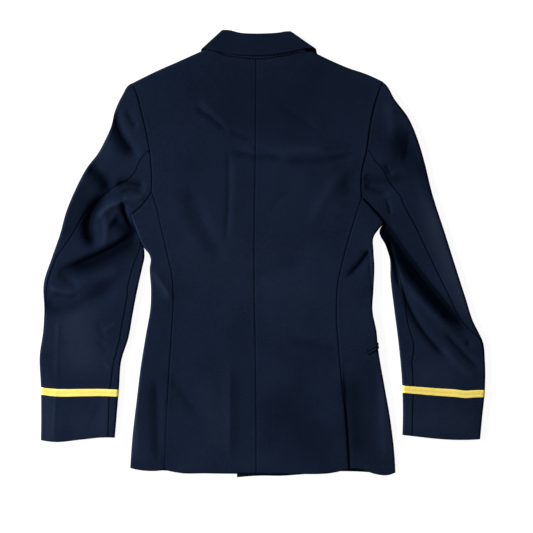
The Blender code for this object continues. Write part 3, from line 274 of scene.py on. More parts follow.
creasesLeft = (
    (126, 108, 133, 122, 138, 127, 7.0, -1.4, 0.0, 0.4),
    (58, 272, 68, 280, 80, 290, 9.0, -1.6, 0.0, 0.3),
    (59.5, 315, 57.5, 350, 57, 385, 4.0, 0.7, 0.0, 0.7),
    (57, 385, 55, 415, 54, 441, 4.0, 0.7, 0.0, 0.7),
    (97, 320, 101, 330, 105, 340, 4.5, -0.7, 0.0, 0.4),
    (103, 332, 111, 327, 118, 322, 4.5, 0.7, 0.0, 0.4),
    (97, 340, 103, 346, 109, 352, 4.5, -0.6, 0.0, 0.4),
    (103, 358, 108, 365, 112, 373, 4.5, 0.5, 0.0, 0.4),
    (41, 357, 48, 357, 55, 357, 4.0, -0.4, 0.0, 0.4),
    (60, 343, 72, 343, 85, 345, 4.0, -0.4, 0.0, 0.4),
)
creasesRight = (
    (409, 125, 407, 147, 402, 165, 5.0, -0.8, 0.0, 0.4),
    (386, 163, 388, 170, 392, 176, 6.0, -1.4, 0.0, 0.3),
    (386, 198, 389, 207, 390.5, 216, 4.5, -1.3, 0.0, 0.5),
    (467, 340, 468, 343, 469, 347, 5.0, -1.6, 0.0, 0.3),
    (401, 367, 404, 369, 408, 372, 3.5, -0.7, 0.0, 0.5),
    (412, 155, 420, 180, 432, 215, 10.0, 0.8, 0.0, 0.1),
)

# Painted light on the cloth, in the same form: the rise is lightness, not height. The rows give painted
# shade in the folds' dark bands and in the right vent's shadow line, painted highlight on their pale rolls,
# and broad patches of painted sheen and shade.
paintedLightBody = (
    (130, 66, 260, 92, 396, 66, 80.0, -1.9, 0.0, 0.0),
    (268, 385, 300, 420, 340, 455, 45.0, -1.6, 0.0, 0.0),
    (196, 372, 212, 415, 216, 456, 22.0, 1.2, 0.0, 0.0),
    (150, 232, 240, 268, 345, 300, 60.0, 0.9, 0.0, 0.0),
    (134, 360, 136, 410, 136, 470, 12.0, 2.0, 0.0, 0.0),
    (380, 350, 388, 410, 392, 470, 12.0, 2.0, 0.0, 0.0),
    (349, 370, 357, 415, 363, 472, 27.0, -2.2, 0.0, 0.0),
    (341.5, 352, 346, 422, 350.5, 495, 3.2, -5.0, 0.0, 0.2),
    (176, 180, 193, 222, 219, 262, 11.0, -1.7, 0.0, 0.0),
    (225, 362, 225, 408, 225, 458, 7.0, 1.1, 0.0, 0.0),
    (235, 362, 235, 408, 235, 458, 9.0, -1.3, 0.0, 0.0),
)
paintedLightLeft = (
    (76, 282, 78, 330, 84, 386, 36.0, 3.2, 0.0, 0.0),
    (36, 424, 78, 424, 122, 422, 26.0, 1.0, 0.0, 0.0),
    (47, 372, 47.5, 416, 47, 462, 11.0, 2.6, 0.0, 0.0),
    (106, 386, 104, 416, 102, 450, 8.0, 1.3, 0.0, 0.0),
    (100, 398, 93, 415, 82, 440, 5.0, -1.0, 0.0, 0.0),
    (60, 392, 66, 415, 64, 446, 12.0, -0.7, 0.0, 0.0),
    (102, 120, 108, 142, 104, 164, 12.0, 1.6, 0.0, 0.0),
    (88, 174, 76, 210, 58, 252, 20.0, -2.2, 0.0, 0.0),
    (142, 236, 112, 260, 64, 282, 18.0, -2.4, 0.0, 0.0),
    (143, 226, 107, 251, 54, 273, 15.0, -2.2, 0.5, 0.3),
    (112, 186, 89, 222, 97, 250, 11.0, -2.2, 0.0, 0.0),
    (84, 168, 98, 180, 112, 198, 12.0, -2.0, 0.0, 0.0),
)
paintedLightRight = (
    (368, 200, 419, 274, 472, 336, 15.0, -7.5, -0.4, 0.2),
    (422, 190, 447, 262, 476, 330, 16.0, 4.2, 0.0, 0.0),
    (392, 388, 425, 378, 458, 386, 26.0, 1.6, 0.0, 0.0),
    (376, 424, 430, 420, 486, 424, 26.0, 1.4, 0.0, 0.0),
    (396, 122, 407, 156, 424, 186, 20.0, -2.2, 0.0, 0.0),
)


def ease(t):
    t = np.clip(t, 0.0, 1.0)
    return t * t * (3.0 - 2.0 * t)


def even(count):
    return np.linspace(0.0, 1.0, count + 1)


def spread(shares, rows):
    # both directions of a grid, from the shares along its rows and the place of each row
    return shares[None, :] + 0.0 * rows[:, None], rows[:, None] + 0.0 * shares[None, :]


def curve(table):
    # smooth curve through a table's rows, followed by its length from 0 to 1
    points = np.array(table, float)
    knots = np.concatenate([[0.0], np.cumsum(np.hypot(*np.diff(points, axis=0).T))])
    slopes = np.gradient(points, knots, axis=0, edge_order=min(2, len(points) - 1))
    fine = []
    for i in range(len(points) - 1):
        gap = knots[i + 1] - knots[i]
        t = np.linspace(0.0, 1.0, 16, endpoint=i == len(points) - 2)[:, None]
        fine.append((2 * t**3 - 3 * t**2 + 1) * points[i] + (t**3 - 2 * t**2 + t) * gap * slopes[i]
                    + (3 * t**2 - 2 * t**3) * points[i + 1] + (t**3 - t**2) * gap * slopes[i + 1])
    fine = np.concatenate(fine)
    run = np.concatenate([[0.0], np.cumsum(np.hypot(*np.diff(fine, axis=0).T))])
    run /= run[-1]
    return lambda t: np.stack([np.interp(t, run, fine[:, 0]), np.interp(t, run, fine[:, 1])], -1)


def reverse(line):
    return lambda t: line(1.0 - np.asarray(t, float))


def chain(first, second, split):
    def at(t):
        t = np.asarray(t, float)
        before = first(np.clip(t / split, 0.0, 1.0))
        after = second(np.clip((t - split) / (1.0 - split), 0.0, 1.0))
        return np.where((t < split)[..., None], before, after)

    return at


def patch(left, right, top, bottom):
    # places on the surface that four curves bound: u from left to right, v from top to bottom
    def at(u, v):
        u = np.asarray(u, float)
        v = np.asarray(v, float)
        a = u[..., None]
        b = v[..., None]
        across = (1 - a) * left(v) + a * right(v)
        along = (1 - b) * top(u) + b * bottom(u)
        corners = ((1 - a) * (1 - b) * left(0.0) + a * (1 - b) * right(0.0)
                   + (1 - a) * b * left(1.0) + a * b * right(1.0))
        return across + along - corners

    return at


def rowWidths(shape, v):
    # length of a patch's rows from side to side
    places = shape(*spread(even(24), v))
    return np.hypot(*np.moveaxis(np.diff(places, axis=1), -1, 0)).sum(axis=1)


def nearest(x, y, line):
    # distance to a run of points, its side and the share of the run
    best = np.full(np.shape(x), 1e9)
    side = np.zeros(np.shape(x))
    share = np.zeros(np.shape(x))
    count = len(line) - 1
    for i in range(count):
        ax, ay = line[i]
        dx, dy = line[i + 1] - line[i]
        t = np.clip(((x - ax) * dx + (y - ay) * dy) / (dx * dx + dy * dy), 0.0, 1.0)
        gap = np.hypot(x - ax - t * dx, y - ay - t * dy)
        closer = gap < best
        best = np.where(closer, gap, best)
        side = np.where(closer, dx * (y - ay) - dy * (x - ax), side)
        share = np.where(closer, (i + t) / count, share)
    return best, np.sign(side), share


def fromPhoto(rows):
    # crease rows with their places turned from pixels to millimetres
    ox, oy = jacket["origin"]
    scale = jacket["pixel"]
    out = []
    for x0, y0, x1, y1, x2, y2, *rest in rows:
        out.append(((x0 - ox) * scale, (oy - y0) * scale, (x1 - ox) * scale, (oy - y1) * scale,
                    (x2 - ox) * scale, (oy - y2) * scale, *rest))
    return out


# how far a fold reaches in half widths, the share of its run over which an end fades, how steeply a crease
# falls off, and the steps of its run
folding = {"reach": 3.2, "fade": 0.25, "fallOff": 2.2, "steps": 16}


def foldLift(x, y, folds):
    lift = np.zeros(np.shape(x))
    for x0, y0, x1, y1, x2, y2, halfWidth, rise, lean, sharp in folds:
        reach = folding["reach"] * halfWidth * (1.0 + abs(lean))
        close = ((x > min(x0, x1, x2) - reach) & (x < max(x0, x1, x2) + reach)
                 & (y > min(y0, y1, y2) - reach) & (y < max(y0, y1, y2) + reach))
        if not close.any():
            continue
        t = even(folding["steps"])[:, None]
        bend = 2 * np.array((x1, y1)) - 0.5 * np.array((x0 + x2, y0 + y2))
        line = (1 - t)**2 * np.array((x0, y0)) + 2 * t * (1 - t) * bend + t * t * np.array((x2, y2))
        gap, side, share = nearest(x[close], y[close], line)
        away = gap / (halfWidth * (1.0 + lean * side))
        ends = ease(share / folding["fade"]) * ease((1.0 - share) / folding["fade"])
        soft = np.exp(-away * away)
        crease = np.exp(-folding["fallOff"] * away)
        lift[close] += rise * ends * ((1.0 - sharp) * soft + sharp * crease)
    return lift


# low uneven swells of cloth that has been worn and pressed: cell, height and turn of each layer
swells = ((120.0, 1.1, 0.5), (58.0, 0.55, 1.3), (27.0, 0.20, 2.2), (12.0, 0.05, 0.9))
swellCells = 160


def swellLift(x, y):
    lift = np.zeros(np.shape(x))
    for number, (cell, height, turn) in enumerate(swells):
        values = np.random.default_rng(11 + number).uniform(-1.0, 1.0, (swellCells, swellCells))
        a = (x * math.cos(turn) - y * math.sin(turn)) / cell + swellCells / 2
        b = (x * math.sin(turn) + y * math.cos(turn)) / cell + swellCells / 2
        column, row = np.floor(a).astype(int), np.floor(b).astype(int)
        a, b = ease(a - column), ease(b - row)
        lift += height * ((1 - a) * (1 - b) * values[row, column] + a * (1 - b) * values[row, column + 1]
                          + (1 - a) * b * values[row + 1, column] + a * b * values[row + 1, column + 1])
    return lift


# the fold rows give heights and painted light, the tone rows painted light only
foldTables = {"body": fromPhoto(foldsBody + creasesBody), "left": fromPhoto(foldsLeft + creasesLeft),
              "right": fromPhoto(foldsRight + creasesRight)}
paintedLightTables = {"body": fromPhoto(paintedLightBody), "left": fromPhoto(paintedLightLeft), "right": fromPhoto(paintedLightRight)}
foldGain = {"body": 1.15, "left": 1.3, "right": 1.3}


def topHeight(x, y, part):
    levels = np.array(heights)
    column = 1 if part == "body" else 2
    level = np.mean([np.interp(y + shift, levels[:, 0], levels[:, column])
                     for shift in jacket["levelShifts"]], axis=0)
    level = level + foldGain[part] * foldLift(x, y, foldTables[part])
    fade = ease((jacket["swellTop"] - y) / jacket["swellFade"]) if part == "body" else 1.0
    level = level + swellLift(x, y) * fade
    return np.maximum(level, jacket["leastHeight"] + jacket["leastSlope"] * np.tanh(level))


def outline(shape, count=24):
    t = np.linspace(0.0, 1.0, count)
    return np.concatenate([shape(t, 0 * t), shape(0 * t + 1, t)[1:], shape(1 - t, 0 * t + 1)[1:],
                           shape(0 * t, 1 - t)[1:]])


def over(x, y, loop):
    # 1 over a piece with this outline and round it, eased to 0 further out
    inside = np.zeros(np.shape(x), bool)
    for (ax, ay), (bx, by) in zip(loop[:-1], loop[1:]):
        crosses = (ay > y) != (by > y)
        inside ^= crosses & (x < (bx - ax) * (y - ay) / (by - ay + 1e-12) + ax)
    gap = nearest(x, y, loop)[0]
    return np.where(inside, 1.0, ease(1.0 - (gap - jacket["stepReach"]) / jacket["stepLength"]))


rollArc = 0.5 * math.pi * jacket["roll"]
rollSpare = rollArc - jacket["roll"]


def roundEdge(run, width, near, far, depth):
    # plan distance and lift of a place that lies a run along the cloth from a folded edge
    roll = jacket["roll"]
    distance = run - rollSpare * near
    lift = np.ones(np.shape(run))
    total = width + rollSpare * (near + far)
    if near:
        turn = np.clip(run / roll, 0.0, 0.5 * math.pi)
        rolled = roll * (1.0 - np.cos(turn)) + depth * np.cos(turn)
        distance = np.where(run < rollArc, rolled, distance)
        lift = np.where(run < rollArc, np.sin(turn), lift)
    if far:
        turn = np.clip((total - run) / roll, 0.0, 0.5 * math.pi)
        rolled = width - roll * (1.0 - np.cos(turn)) - depth * np.cos(turn)
        distance = np.where(total - run < rollArc, rolled, distance)
        lift = np.where(total - run < rollArc, np.sin(turn), lift)
    return distance, lift


def stacked(top, floor, lift, above, depth):
    middle = 0.5 * (top + floor)
    half = (0.5 * (top - floor) - depth) * lift
    return np.where(above, middle + half, middle - half)


# length of cloth to a column near an edge and far from one, and how far an edge and an end count as near
spacing = {"near": 1.3, "far": 4.2, "steps": 240, "edgeReach": rollArc * 1.1, "endReach": 6.0}


def columnPlaces(start, end, edges, share, near=spacing["near"], far=spacing["far"]):
    # places along each row's run, which stand closer at its folded edges and at its ends
    steps = even(spacing["steps"])
    out = np.empty((len(start), len(share)))
    for i in range(len(start)):
        run = start[i] + (end[i] - start[i]) * steps
        density = np.full(len(run), 1.0 / far)
        for edge in edges:
            density[np.abs(run - edge[i]) < spacing["edgeReach"]] = 1.0 / near
        toEnd = np.minimum(np.abs(run - start[i]), np.abs(run - end[i]))
        density += (1.0 / near - 1.0 / far) * np.exp(-(toEnd / spacing["endReach"])**2)
        count = np.concatenate([[0.0], np.cumsum(0.5 * (density[1:] + density[:-1]))])
        out[i] = np.interp(share, count / count[-1], run)
    return out


# The dip beside a pressed seam and the drop at a turned hem. shadow is how far the painted shade along a
# piece's border reaches, rollShade how dark the painted shade is on cloth that turns down at a folded edge,
# and rollLevel how level it is where that starts.
seamAndShade = {"depth": 0.5, "width": 1.3, "shadow": 1.1, "ridge": 0.06, "ridgeAt": 4.0, "ridgeWidth": 3.0,
        "hemDrop": 1.1, "hemWidth": 4.0, "rollShade": 0.7, "rollLevel": 0.7}


def seamDip(distance, depth=1.0):
    dip = seamAndShade["depth"] * np.exp(-(distance / seamAndShade["width"])**2)
    ridge = seamAndShade["ridge"] * np.exp(-((distance - seamAndShade["ridgeAt"]) / seamAndShade["ridgeWidth"])**2)
    return depth * (dip - ridge)


def roundedDrop(t):
    # share of its drop that a rounded edge has reached: t is 0 inside it and 1 at its end
    t = np.clip(t, 0.0, 1.0)
    return 1.0 - np.sqrt(1.0 - 0.98 * t * t)


def hemDip(distance):
    return seamAndShade["hemDrop"] * roundedDrop(1.0 - distance / seamAndShade["hemWidth"])


def borderGap(places):
    # how far each place of a grid is, along the cloth, from the nearest border of the piece
    gap = np.full(places.shape[:2], 1e9)
    for axis in (0, 1):
        steps = np.sqrt((np.diff(places, axis=axis)**2).sum(axis=2))
        start = np.zeros_like(np.take(steps, [0], axis=axis))
        run = np.concatenate([start, np.cumsum(steps, axis=axis)], axis=axis)
        gap = np.minimum(gap, np.minimum(run, np.take(run, [-1], axis=axis) - run))
    return gap


def levelShare(places):
    # 1 where the cloth lies level, and 0 where it turns straight down at a folded edge
    turned = np.cross(np.gradient(places, axis=1), np.gradient(places, axis=0))
    return np.abs(turned[..., 2]) / (np.linalg.norm(turned, axis=2) + 1e-9)


def addObject(name, data):
    thing = bpy.data.objects.new(name, data)
    bpy.context.scene.collection.objects.link(thing)
    return thing


def finished(name, mesh, finish, sharpAngle):
    mesh.shade_smooth()
    mesh.set_sharp_from_angle(angle=math.radians(sharpAngle))
    mesh.materials.append(finish)
    return addObject(name, mesh)


def clothPiece(name, shares, rows, skin, finish, cloth=None, part=None, shadow=None):
    # A closed wall: a grid given its thickness, then moved to its outer and inner skins. skin is called with
    # the shares, the rows and the depth below the outer face, and gives the places and their weave.
    cloth = jacket["cloth"] if cloth is None else cloth
    across, along = len(shares) - 1, len(rows) - 1
    bm = bmesh.new()
    bmesh.ops.create_grid(bm, x_segments=across, y_segments=along, size=0.5)
    bmesh.ops.solidify(bm, geom=bm.faces[:], thickness=0.25)
    mesh = bpy.data.meshes.new(name)
    bm.to_mesh(mesh)
    bm.free()
    grid = np.empty(len(mesh.vertices) * 3)
    mesh.vertices.foreach_get("co", grid)
    grid = grid.reshape(-1, 3)
    inner = grid[:, 2] < -0.1
    column = np.rint((grid[:, 0] + 0.5) * across).astype(int)
    row = np.rint((0.5 - grid[:, 1]) * along).astype(int)
    outerSkin, weave = skin(shares, rows, 0.0)
    innerSkin, _ = skin(shares, rows, cloth)
    points = np.where(inner[:, None], innerSkin[row, column], outerSkin[row, column])
    points = (points - (*jacket["centre"], 0.0)) * jacket["metres"]
    mesh.vertices.foreach_set("co", points.ravel())
    corner = np.empty(len(mesh.loops), int)
    mesh.loops.foreach_get("vertex_index", corner)
    layer = mesh.uv_layers.new(name="weave")
    layer.data.foreach_set("uv", (weave[row, column][corner] * jacket["metres"]).ravel())
    # edge is painted shade: along the piece's borders, where its seams and hems fall into shade, and on
    # cloth that turns down at a folded edge
    edge = np.exp(-(borderGap(outerSkin) / (shadow or seamAndShade["shadow"]))**2)
    turned = np.clip(1.0 - levelShare(outerSkin) / seamAndShade["rollLevel"], 0.0, 1.0)
    edge = np.maximum(edge, seamAndShade["rollShade"] * turned)
    mesh.attributes.new("edge", "FLOAT", "POINT").data.foreach_set("value", edge[row, column])
    # fold is painted light: painted shade where the folds and the painted-light rows lie low, and painted
    # highlight where they lie high
    if part:
        x, y = outerSkin[..., 0], outerSkin[..., 1]
        tone = foldGain[part] * foldLift(x, y, foldTables[part]) + foldLift(x, y, paintedLightTables[part])
        tone = np.clip(tone / jacket["foldTone"], -1.0, 1.0)
        mesh.attributes.new("fold", "FLOAT", "POINT").data.foreach_set("value", tone[row, column])
    bm = bmesh.new()
    bm.from_mesh(mesh)
    bmesh.ops.recalc_face_normals(bm, faces=bm.faces[:])
    if bm.calc_volume(signed=True) < 0.0:
        bmesh.ops.reverse_faces(bm, faces=bm.faces[:])
    bm.to_mesh(mesh)
    bm.free()
    return finished(name, mesh, finish, jacket["sharpAngle"])


def solid(plan, z):
    return np.concatenate([plan, z[..., None]], -1)


print("shapes ready")


# Cloth and metal finishes, used by the pieces below
def newGroup(name, inputs, outputs):
    group = bpy.data.node_groups.new(name, "ShaderNodeTree")
    for label, kind, value in inputs:
        socket = group.interface.new_socket(label, in_out="INPUT", socket_type=kind)
        socket.default_value = value
    for label, kind in outputs:
        group.interface.new_socket(label, in_out="OUTPUT", socket_type=kind)
    return group, group.nodes.new("NodeGroupInput"), group.nodes.new("NodeGroupOutput")


def math2(tree, operation, a, b=None, clamp=False):
    node = tree.nodes.new("ShaderNodeMath")
    node.operation = operation
    node.use_clamp = clamp
    for i, value in enumerate((a, b)):
        if value is None:
            continue
        if isinstance(value, (int, float)):
            node.inputs[i].default_value = value
        else:
            tree.links.new(value, node.inputs[i])
    return node.outputs[0]


def wave(tree, angle):
    # from 0 to 1 and back
    return math2(tree, "MULTIPLY", math2(tree, "ADD", math2(tree, "SINE", angle), 1.0), 0.5)


def offLine(tree, place, middle):
    return math2(tree, "ABSOLUTE", math2(tree, "SUBTRACT", place, middle))


def addNoise(tree, place, scale, detail=2.0, roughness=0.5):
    noise = tree.nodes.new("ShaderNodeTexNoise")
    noise.inputs["Scale"].default_value = scale
    noise.inputs["Detail"].default_value = detail
    noise.inputs["Roughness"].default_value = roughness
    tree.links.new(place, noise.inputs["Vector"])
    return noise.outputs["Fac"]


def addWeave(tree):
    # the cloth's own measure, in metres along its threads
    weave = tree.nodes.new("ShaderNodeUVMap")
    weave.uv_map = "weave"
    return weave.outputs["UV"]


def addParts(tree, place):
    parts = tree.nodes.new("ShaderNodeSeparateXYZ")
    tree.links.new(place, parts.inputs[0])
    return parts.outputs[0], parts.outputs[1]


def addAttribute(tree, name):
    attribute = tree.nodes.new("ShaderNodeAttribute")
    attribute.attribute_name = name
    return attribute.outputs["Fac"]


def addGroup(tree, group, label, place):
    node = tree.nodes.new("ShaderNodeGroup")
    node.node_tree = group
    tree.links.new(place, node.inputs[label])
    return node.outputs


def addBump(tree, shader, height, strength, distance):
    bump = tree.nodes.new("ShaderNodeBump")
    bump.inputs["Strength"].default_value = strength
    bump.inputs["Distance"].default_value = distance
    tree.links.new(height, bump.inputs["Height"])
    tree.links.new(bump.outputs["Normal"], shader.inputs["Normal"])


def newFinish(name):
    finish = bpy.data.materials.new(name)
    finish.use_nodes = True
    return finish, finish.node_tree, finish.node_tree.nodes["Principled BSDF"]


# wool twill: fine diagonal ridges across the weave, with a soft nap over them
twillLook = {"perMetre": 900.0, "slant": 0.62, "ridgeShare": 0.6, "napShare": 0.5, "nap": (620.0, 3.0)}
twillGroup, twillIn, twillOut = newGroup(
    "woolTwill",
    [("Weave", "NodeSocketVector", (0, 0, 0)),
     ("Ridges per metre", "NodeSocketFloat", twillLook["perMetre"])],
    [("Height", "NodeSocketFloat"), ("Mask", "NodeSocketFloat")])
across, down = addParts(twillGroup, twillIn.outputs["Weave"])
diagonal = math2(twillGroup, "ADD", across, math2(twillGroup, "MULTIPLY", down, twillLook["slant"]))
turns = math2(twillGroup, "MULTIPLY", diagonal, twillIn.outputs["Ridges per metre"])
ridges = wave(twillGroup, math2(twillGroup, "MULTIPLY", turns, 2 * math.pi))
nap = addNoise(twillGroup, twillIn.outputs["Weave"], *twillLook["nap"])
twillHeight = math2(twillGroup, "ADD", math2(twillGroup, "MULTIPLY", ridges, twillLook["ridgeShare"]),
                    math2(twillGroup, "MULTIPLY", nap, twillLook["napShare"]))
twillGroup.links.new(twillHeight, twillOut.inputs["Height"])
twillGroup.links.new(ridges, twillOut.inputs["Mask"])

# press marks and lint: broad changes of tone and a scatter of pale specks
wearLook = {"tone": (9.0, 4.0, 0.55), "grain": (420.0,), "lintCells": 120.0, "lintSize": 0.045}
wearGroup, wearIn, wearOut = newGroup(
    "pressAndLint",
    [("Place", "NodeSocketVector", (0, 0, 0))],
    [("Tone", "NodeSocketFloat"), ("Grain", "NodeSocketFloat"), ("Lint", "NodeSocketFloat")])
for label in ("Tone", "Grain"):
    cloud = addNoise(wearGroup, wearIn.outputs["Place"], *wearLook[label.lower()])
    wearGroup.links.new(cloud, wearOut.inputs[label])
specks = wearGroup.nodes.new("ShaderNodeTexVoronoi")
specks.inputs["Scale"].default_value = wearLook["lintCells"]
wearGroup.links.new(wearIn.outputs["Place"], specks.inputs["Vector"])
speckMask = math2(wearGroup, "LESS_THAN", specks.outputs["Distance"], wearLook["lintSize"])
wearGroup.links.new(speckMask, wearOut.inputs["Lint"])


def mixColor(tree, factor, a, b, blend="MIX"):
    node = tree.nodes.new("ShaderNodeMix")
    node.data_type = "RGBA"
    node.blend_type = blend
    sockets = [node.inputs[0], node.inputs[6], node.inputs[7]]
    for socket, value in zip(sockets, (factor, a, b)):
        if isinstance(value, (int, float, tuple)):
            socket.default_value = value
        else:
            tree.links.new(value, socket)
    return node.outputs[2]


# The wool's colour runs from dark to light with its press marks. The shares say how strongly the twill, the
# lint, the painted shade in the folds' troughs, the painted highlight on their crests and the painted shade
# along the borders are laid over that.
navyWool = {
    "dark": (0.0024, 0.0048, 0.0118, 1.0), "light": (0.0051, 0.0091, 0.0206, 1.0),
    "lint": (0.035, 0.042, 0.060, 1.0), "seamAndShade": (0.0002, 0.0005, 0.0020, 1.0),
    "ridge": (0.0190, 0.0265, 0.0460, 1.0), "glint": (0.25, 0.50, 1.0, 1.0),
    "roughness": 0.62, "specular": 0.025, "bump": 0.25, "bumpDistance": 0.0003,
    "toneGain": 1.6, "toneStart": -1.35, "grainGain": 2.2,
    "twillShare": 0.06, "lintShare": 0.3, "troughShadeShare": -0.95, "crestHighlightShare": 0.5, "borderShadeShare": 0.85,
}


def makeWool(name, look):
    finish, tree, shader = newFinish(name)
    shader.inputs["Roughness"].default_value = look["roughness"]
    shader.inputs["Specular IOR Level"].default_value = look["specular"]
    shader.inputs["Specular Tint"].default_value = look["glint"]
    place = tree.nodes.new("ShaderNodeTexCoord")
    twill = addGroup(tree, twillGroup, "Weave", addWeave(tree))
    wear = addGroup(tree, wearGroup, "Place", place.outputs["Object"])
    tone = math2(tree, "MULTIPLY_ADD", wear["Tone"], look["toneGain"])
    tone.node.inputs[2].default_value = look["toneStart"]
    tone = math2(tree, "ADD", tone, math2(tree, "MULTIPLY", wear["Grain"], look["grainGain"]), clamp=True)
    base = mixColor(tree, tone, look["dark"], look["light"])
    fold, edge = addAttribute(tree, "fold"), addAttribute(tree, "edge")
    # painted shade in troughs and along borders takes the seam colour, painted highlight on crests the ridge
    # colour
    for mask, share, color in ((twill["Mask"], "twillShare", "lint"), (wear["Lint"], "lintShare", "lint"),
                               (fold, "troughShadeShare", "seamAndShade"), (fold, "crestHighlightShare", "ridge"),
                               (edge, "borderShadeShare", "seamAndShade")):
        base = mixColor(tree, math2(tree, "MULTIPLY", mask, look[share], clamp=True), base, look[color])
    tree.links.new(base, shader.inputs["Base Color"])
    addBump(tree, shader, twill["Height"], look["bump"], look["bumpDistance"])
    return finish


wool = makeWool("navyWool", navyWool)
# a darker copy of the wool for the vent's underlap: painted shade where it lies under the back
woolUnderShaded = makeWool("navyWoolUnderShaded", {**navyWool, "dark": (0.0020, 0.0040, 0.0097, 1.0),
                                       "light": (0.0036, 0.0068, 0.0165, 1.0)})
# a lighter copy of the wool for the pocket jets: painted light on their strips, with the painted shade at
# their borders at full strength for the pocket's mouth
jetWoolLitAndShaded = makeWool("jetWoolLitAndShaded", {**navyWool, "dark": (0.0064, 0.0106, 0.0230, 1.0),
                               "light": (0.0080, 0.0130, 0.0280, 1.0), "borderShadeShare": 1.0})

# gold lace: wire ribs across the band with painted shade in the hollows between them, and three darker lines
# along its middle: place and half width
goldLace = {"gold": (0.93, 0.74, 0.15, 1.0), "shade": (0.45, 0.30, 0.05, 1.0), "ribPitch": 0.00085,
            "lines": ((0.0049, 0.00045), (0.0064, 0.00055), (0.0079, 0.00045)), "roughness": 0.42,
            "metallic": 0.35, "lineShade": 0.55, "ribShade": 0.25, "wanderShade": 0.35, "wander": 160.0,
            "bump": 0.4, "bumpDistance": 0.0002}


def makeLaceFinish():
    finish, tree, shader = newFinish("goldLace")
    shader.inputs["Roughness"].default_value = goldLace["roughness"]
    shader.inputs["Metallic"].default_value = goldLace["metallic"]
    weave = addWeave(tree)
    along, across = addParts(tree, weave)
    wander = addNoise(tree, weave, goldLace["wander"])
    lines = 0.0
    for middle, halfWidth in goldLace["lines"]:
        off = math2(tree, "DIVIDE", offLine(tree, across, middle), halfWidth)
        lines = math2(tree, "ADD", math2(tree, "SUBTRACT", 1.0, off, clamp=True), lines)
    ribs = wave(tree, math2(tree, "MULTIPLY", along, 2 * math.pi / goldLace["ribPitch"]))
    # the hollows between the ribs are painted darker: painted shade
    hollows = math2(tree, "MULTIPLY", math2(tree, "SUBTRACT", 1.0, ribs), goldLace["ribShade"])
    dark = math2(tree, "ADD", math2(tree, "MULTIPLY", lines, goldLace["lineShade"]), hollows, clamp=True)
    uneven = math2(tree, "MULTIPLY", math2(tree, "SUBTRACT", wander, 0.5), goldLace["wanderShade"])
    dark = math2(tree, "ADD", dark, uneven, clamp=True)
    tree.links.new(mixColor(tree, dark, goldLace["gold"], goldLace["shade"]), shader.inputs["Base Color"])
    addBump(tree, shader, math2(tree, "SUBTRACT", ribs, lines), goldLace["bump"], goldLace["bumpDistance"])
    return finish


laceGold = makeLaceFinish()

# gilt buttons: polished, with a faint haze of handling
giltButton = {"color": (0.80, 0.55, 0.19, 1.0), "roughness": (0.16, 0.34), "haze": 140.0}
gilt, giltTree, giltShader = newFinish("giltButton")
giltShader.inputs["Metallic"].default_value = 1.0
giltShader.inputs["Base Color"].default_value = giltButton["color"]
giltPlace = giltTree.nodes.new("ShaderNodeTexCoord")
hazeRange = giltTree.nodes.new("ShaderNodeMapRange")
hazeRange.inputs["To Min"].default_value, hazeRange.inputs["To Max"].default_value = giltButton["roughness"]
haze = addNoise(giltTree, giltPlace.outputs["Object"], giltButton["haze"])
giltTree.links.new(haze, hazeRange.inputs["Value"])
giltTree.links.new(hazeRange.outputs["Result"], giltShader.inputs["Roughness"])
print("finishes ready")

# Rows of a back or front: run down from the shoulder's folded edge, then share of the seam below the
# armhole. The lengths are in millimetres, and ventTop is the share of the side seam where a vent opens.
panel = {"armholeLength": 200.0, "armholeShare": 0.32, "neckShare": 0.37, "sideLength": 500.0,
         "rollRows": 8, "armholeRows": 62, "seamRows": 150, "ventTop": 0.745, "ventFade": 0.02}


def panelRuns(rollRows, armholeRows, seamRows):
    upper = np.concatenate([rollArc * even(rollRows)[:-1],
                            np.linspace(rollArc, panel["armholeLength"] + rollSpare, armholeRows + 1),
                            np.full(seamRows, panel["armholeLength"] + rollSpare)])
    lower = np.concatenate([np.zeros(rollRows + armholeRows + 1), even(seamRows)[1:]])
    return upper, lower


def bodyShapes(side):
    edge = curve(bodyEdge[side])
    backSeam = curve(sideBack[side])
    frontSeam = curve(sideFront[side])
    top = curve(shoulder[side])
    split = panel["armholeShare"]
    back = patch(curve(centreBack), chain(curve(armholeBack[side]), backSeam, split),
                 chain(curve(neck[side]), top, panel["neckShare"]), curve(hemBack[side]))
    above = patch(edge, backSeam, reverse(curve(armholeUnder[side])), reverse(curve(hemSide[side])))
    below = patch(edge, frontSeam, reverse(curve(armholeFrontUnder[side])), reverse(curve(hemUnder[side])))
    front = patch(chain(curve(armholeFront[side]), frontSeam, split),
                  chain(curve(neckline[side]), curve(frontEdge[side]), split),
                  reverse(top), reverse(curve(hemFront[side])))
    return back, above, below, front


def downThePanel(upper, lower, depth, flat):
    # v of a panel's places, and the lift of its shoulder's folded edge
    distance, lift = roundEdge(upper, panel["armholeLength"], True, False, depth)
    distance = np.where(flat, upper - rollSpare * ease(upper / rollArc), distance)
    split = panel["armholeShare"]
    v = np.where(lower > 0.0, split + (1.0 - split) * lower, split * distance / panel["armholeLength"])
    return v, np.where(flat, 1.0, lift)


def crowded(count, draw=0.6):
    # shares from 0 to 1 that stand closer at both ends
    t = even(count)
    return t - draw * np.sin(2 * math.pi * t) / (2 * math.pi)


# the two backs lap by twice centreLap, so that no light comes through the centre seam
backPanel = {"columns": 84, "armholeDip": 1.5, "seamDip": 1.0, "centreDip": 0.8, "ventRise": 0.35,
             "ventReach": 9.0, "ventHem": 0.5, "neckDip": 0.15, "neckReach": 3.0, "neckBlend": 0.02,
             "centreLap": 0.14}


def outward(side):
    return -1.0 if side == "left" else 1.0


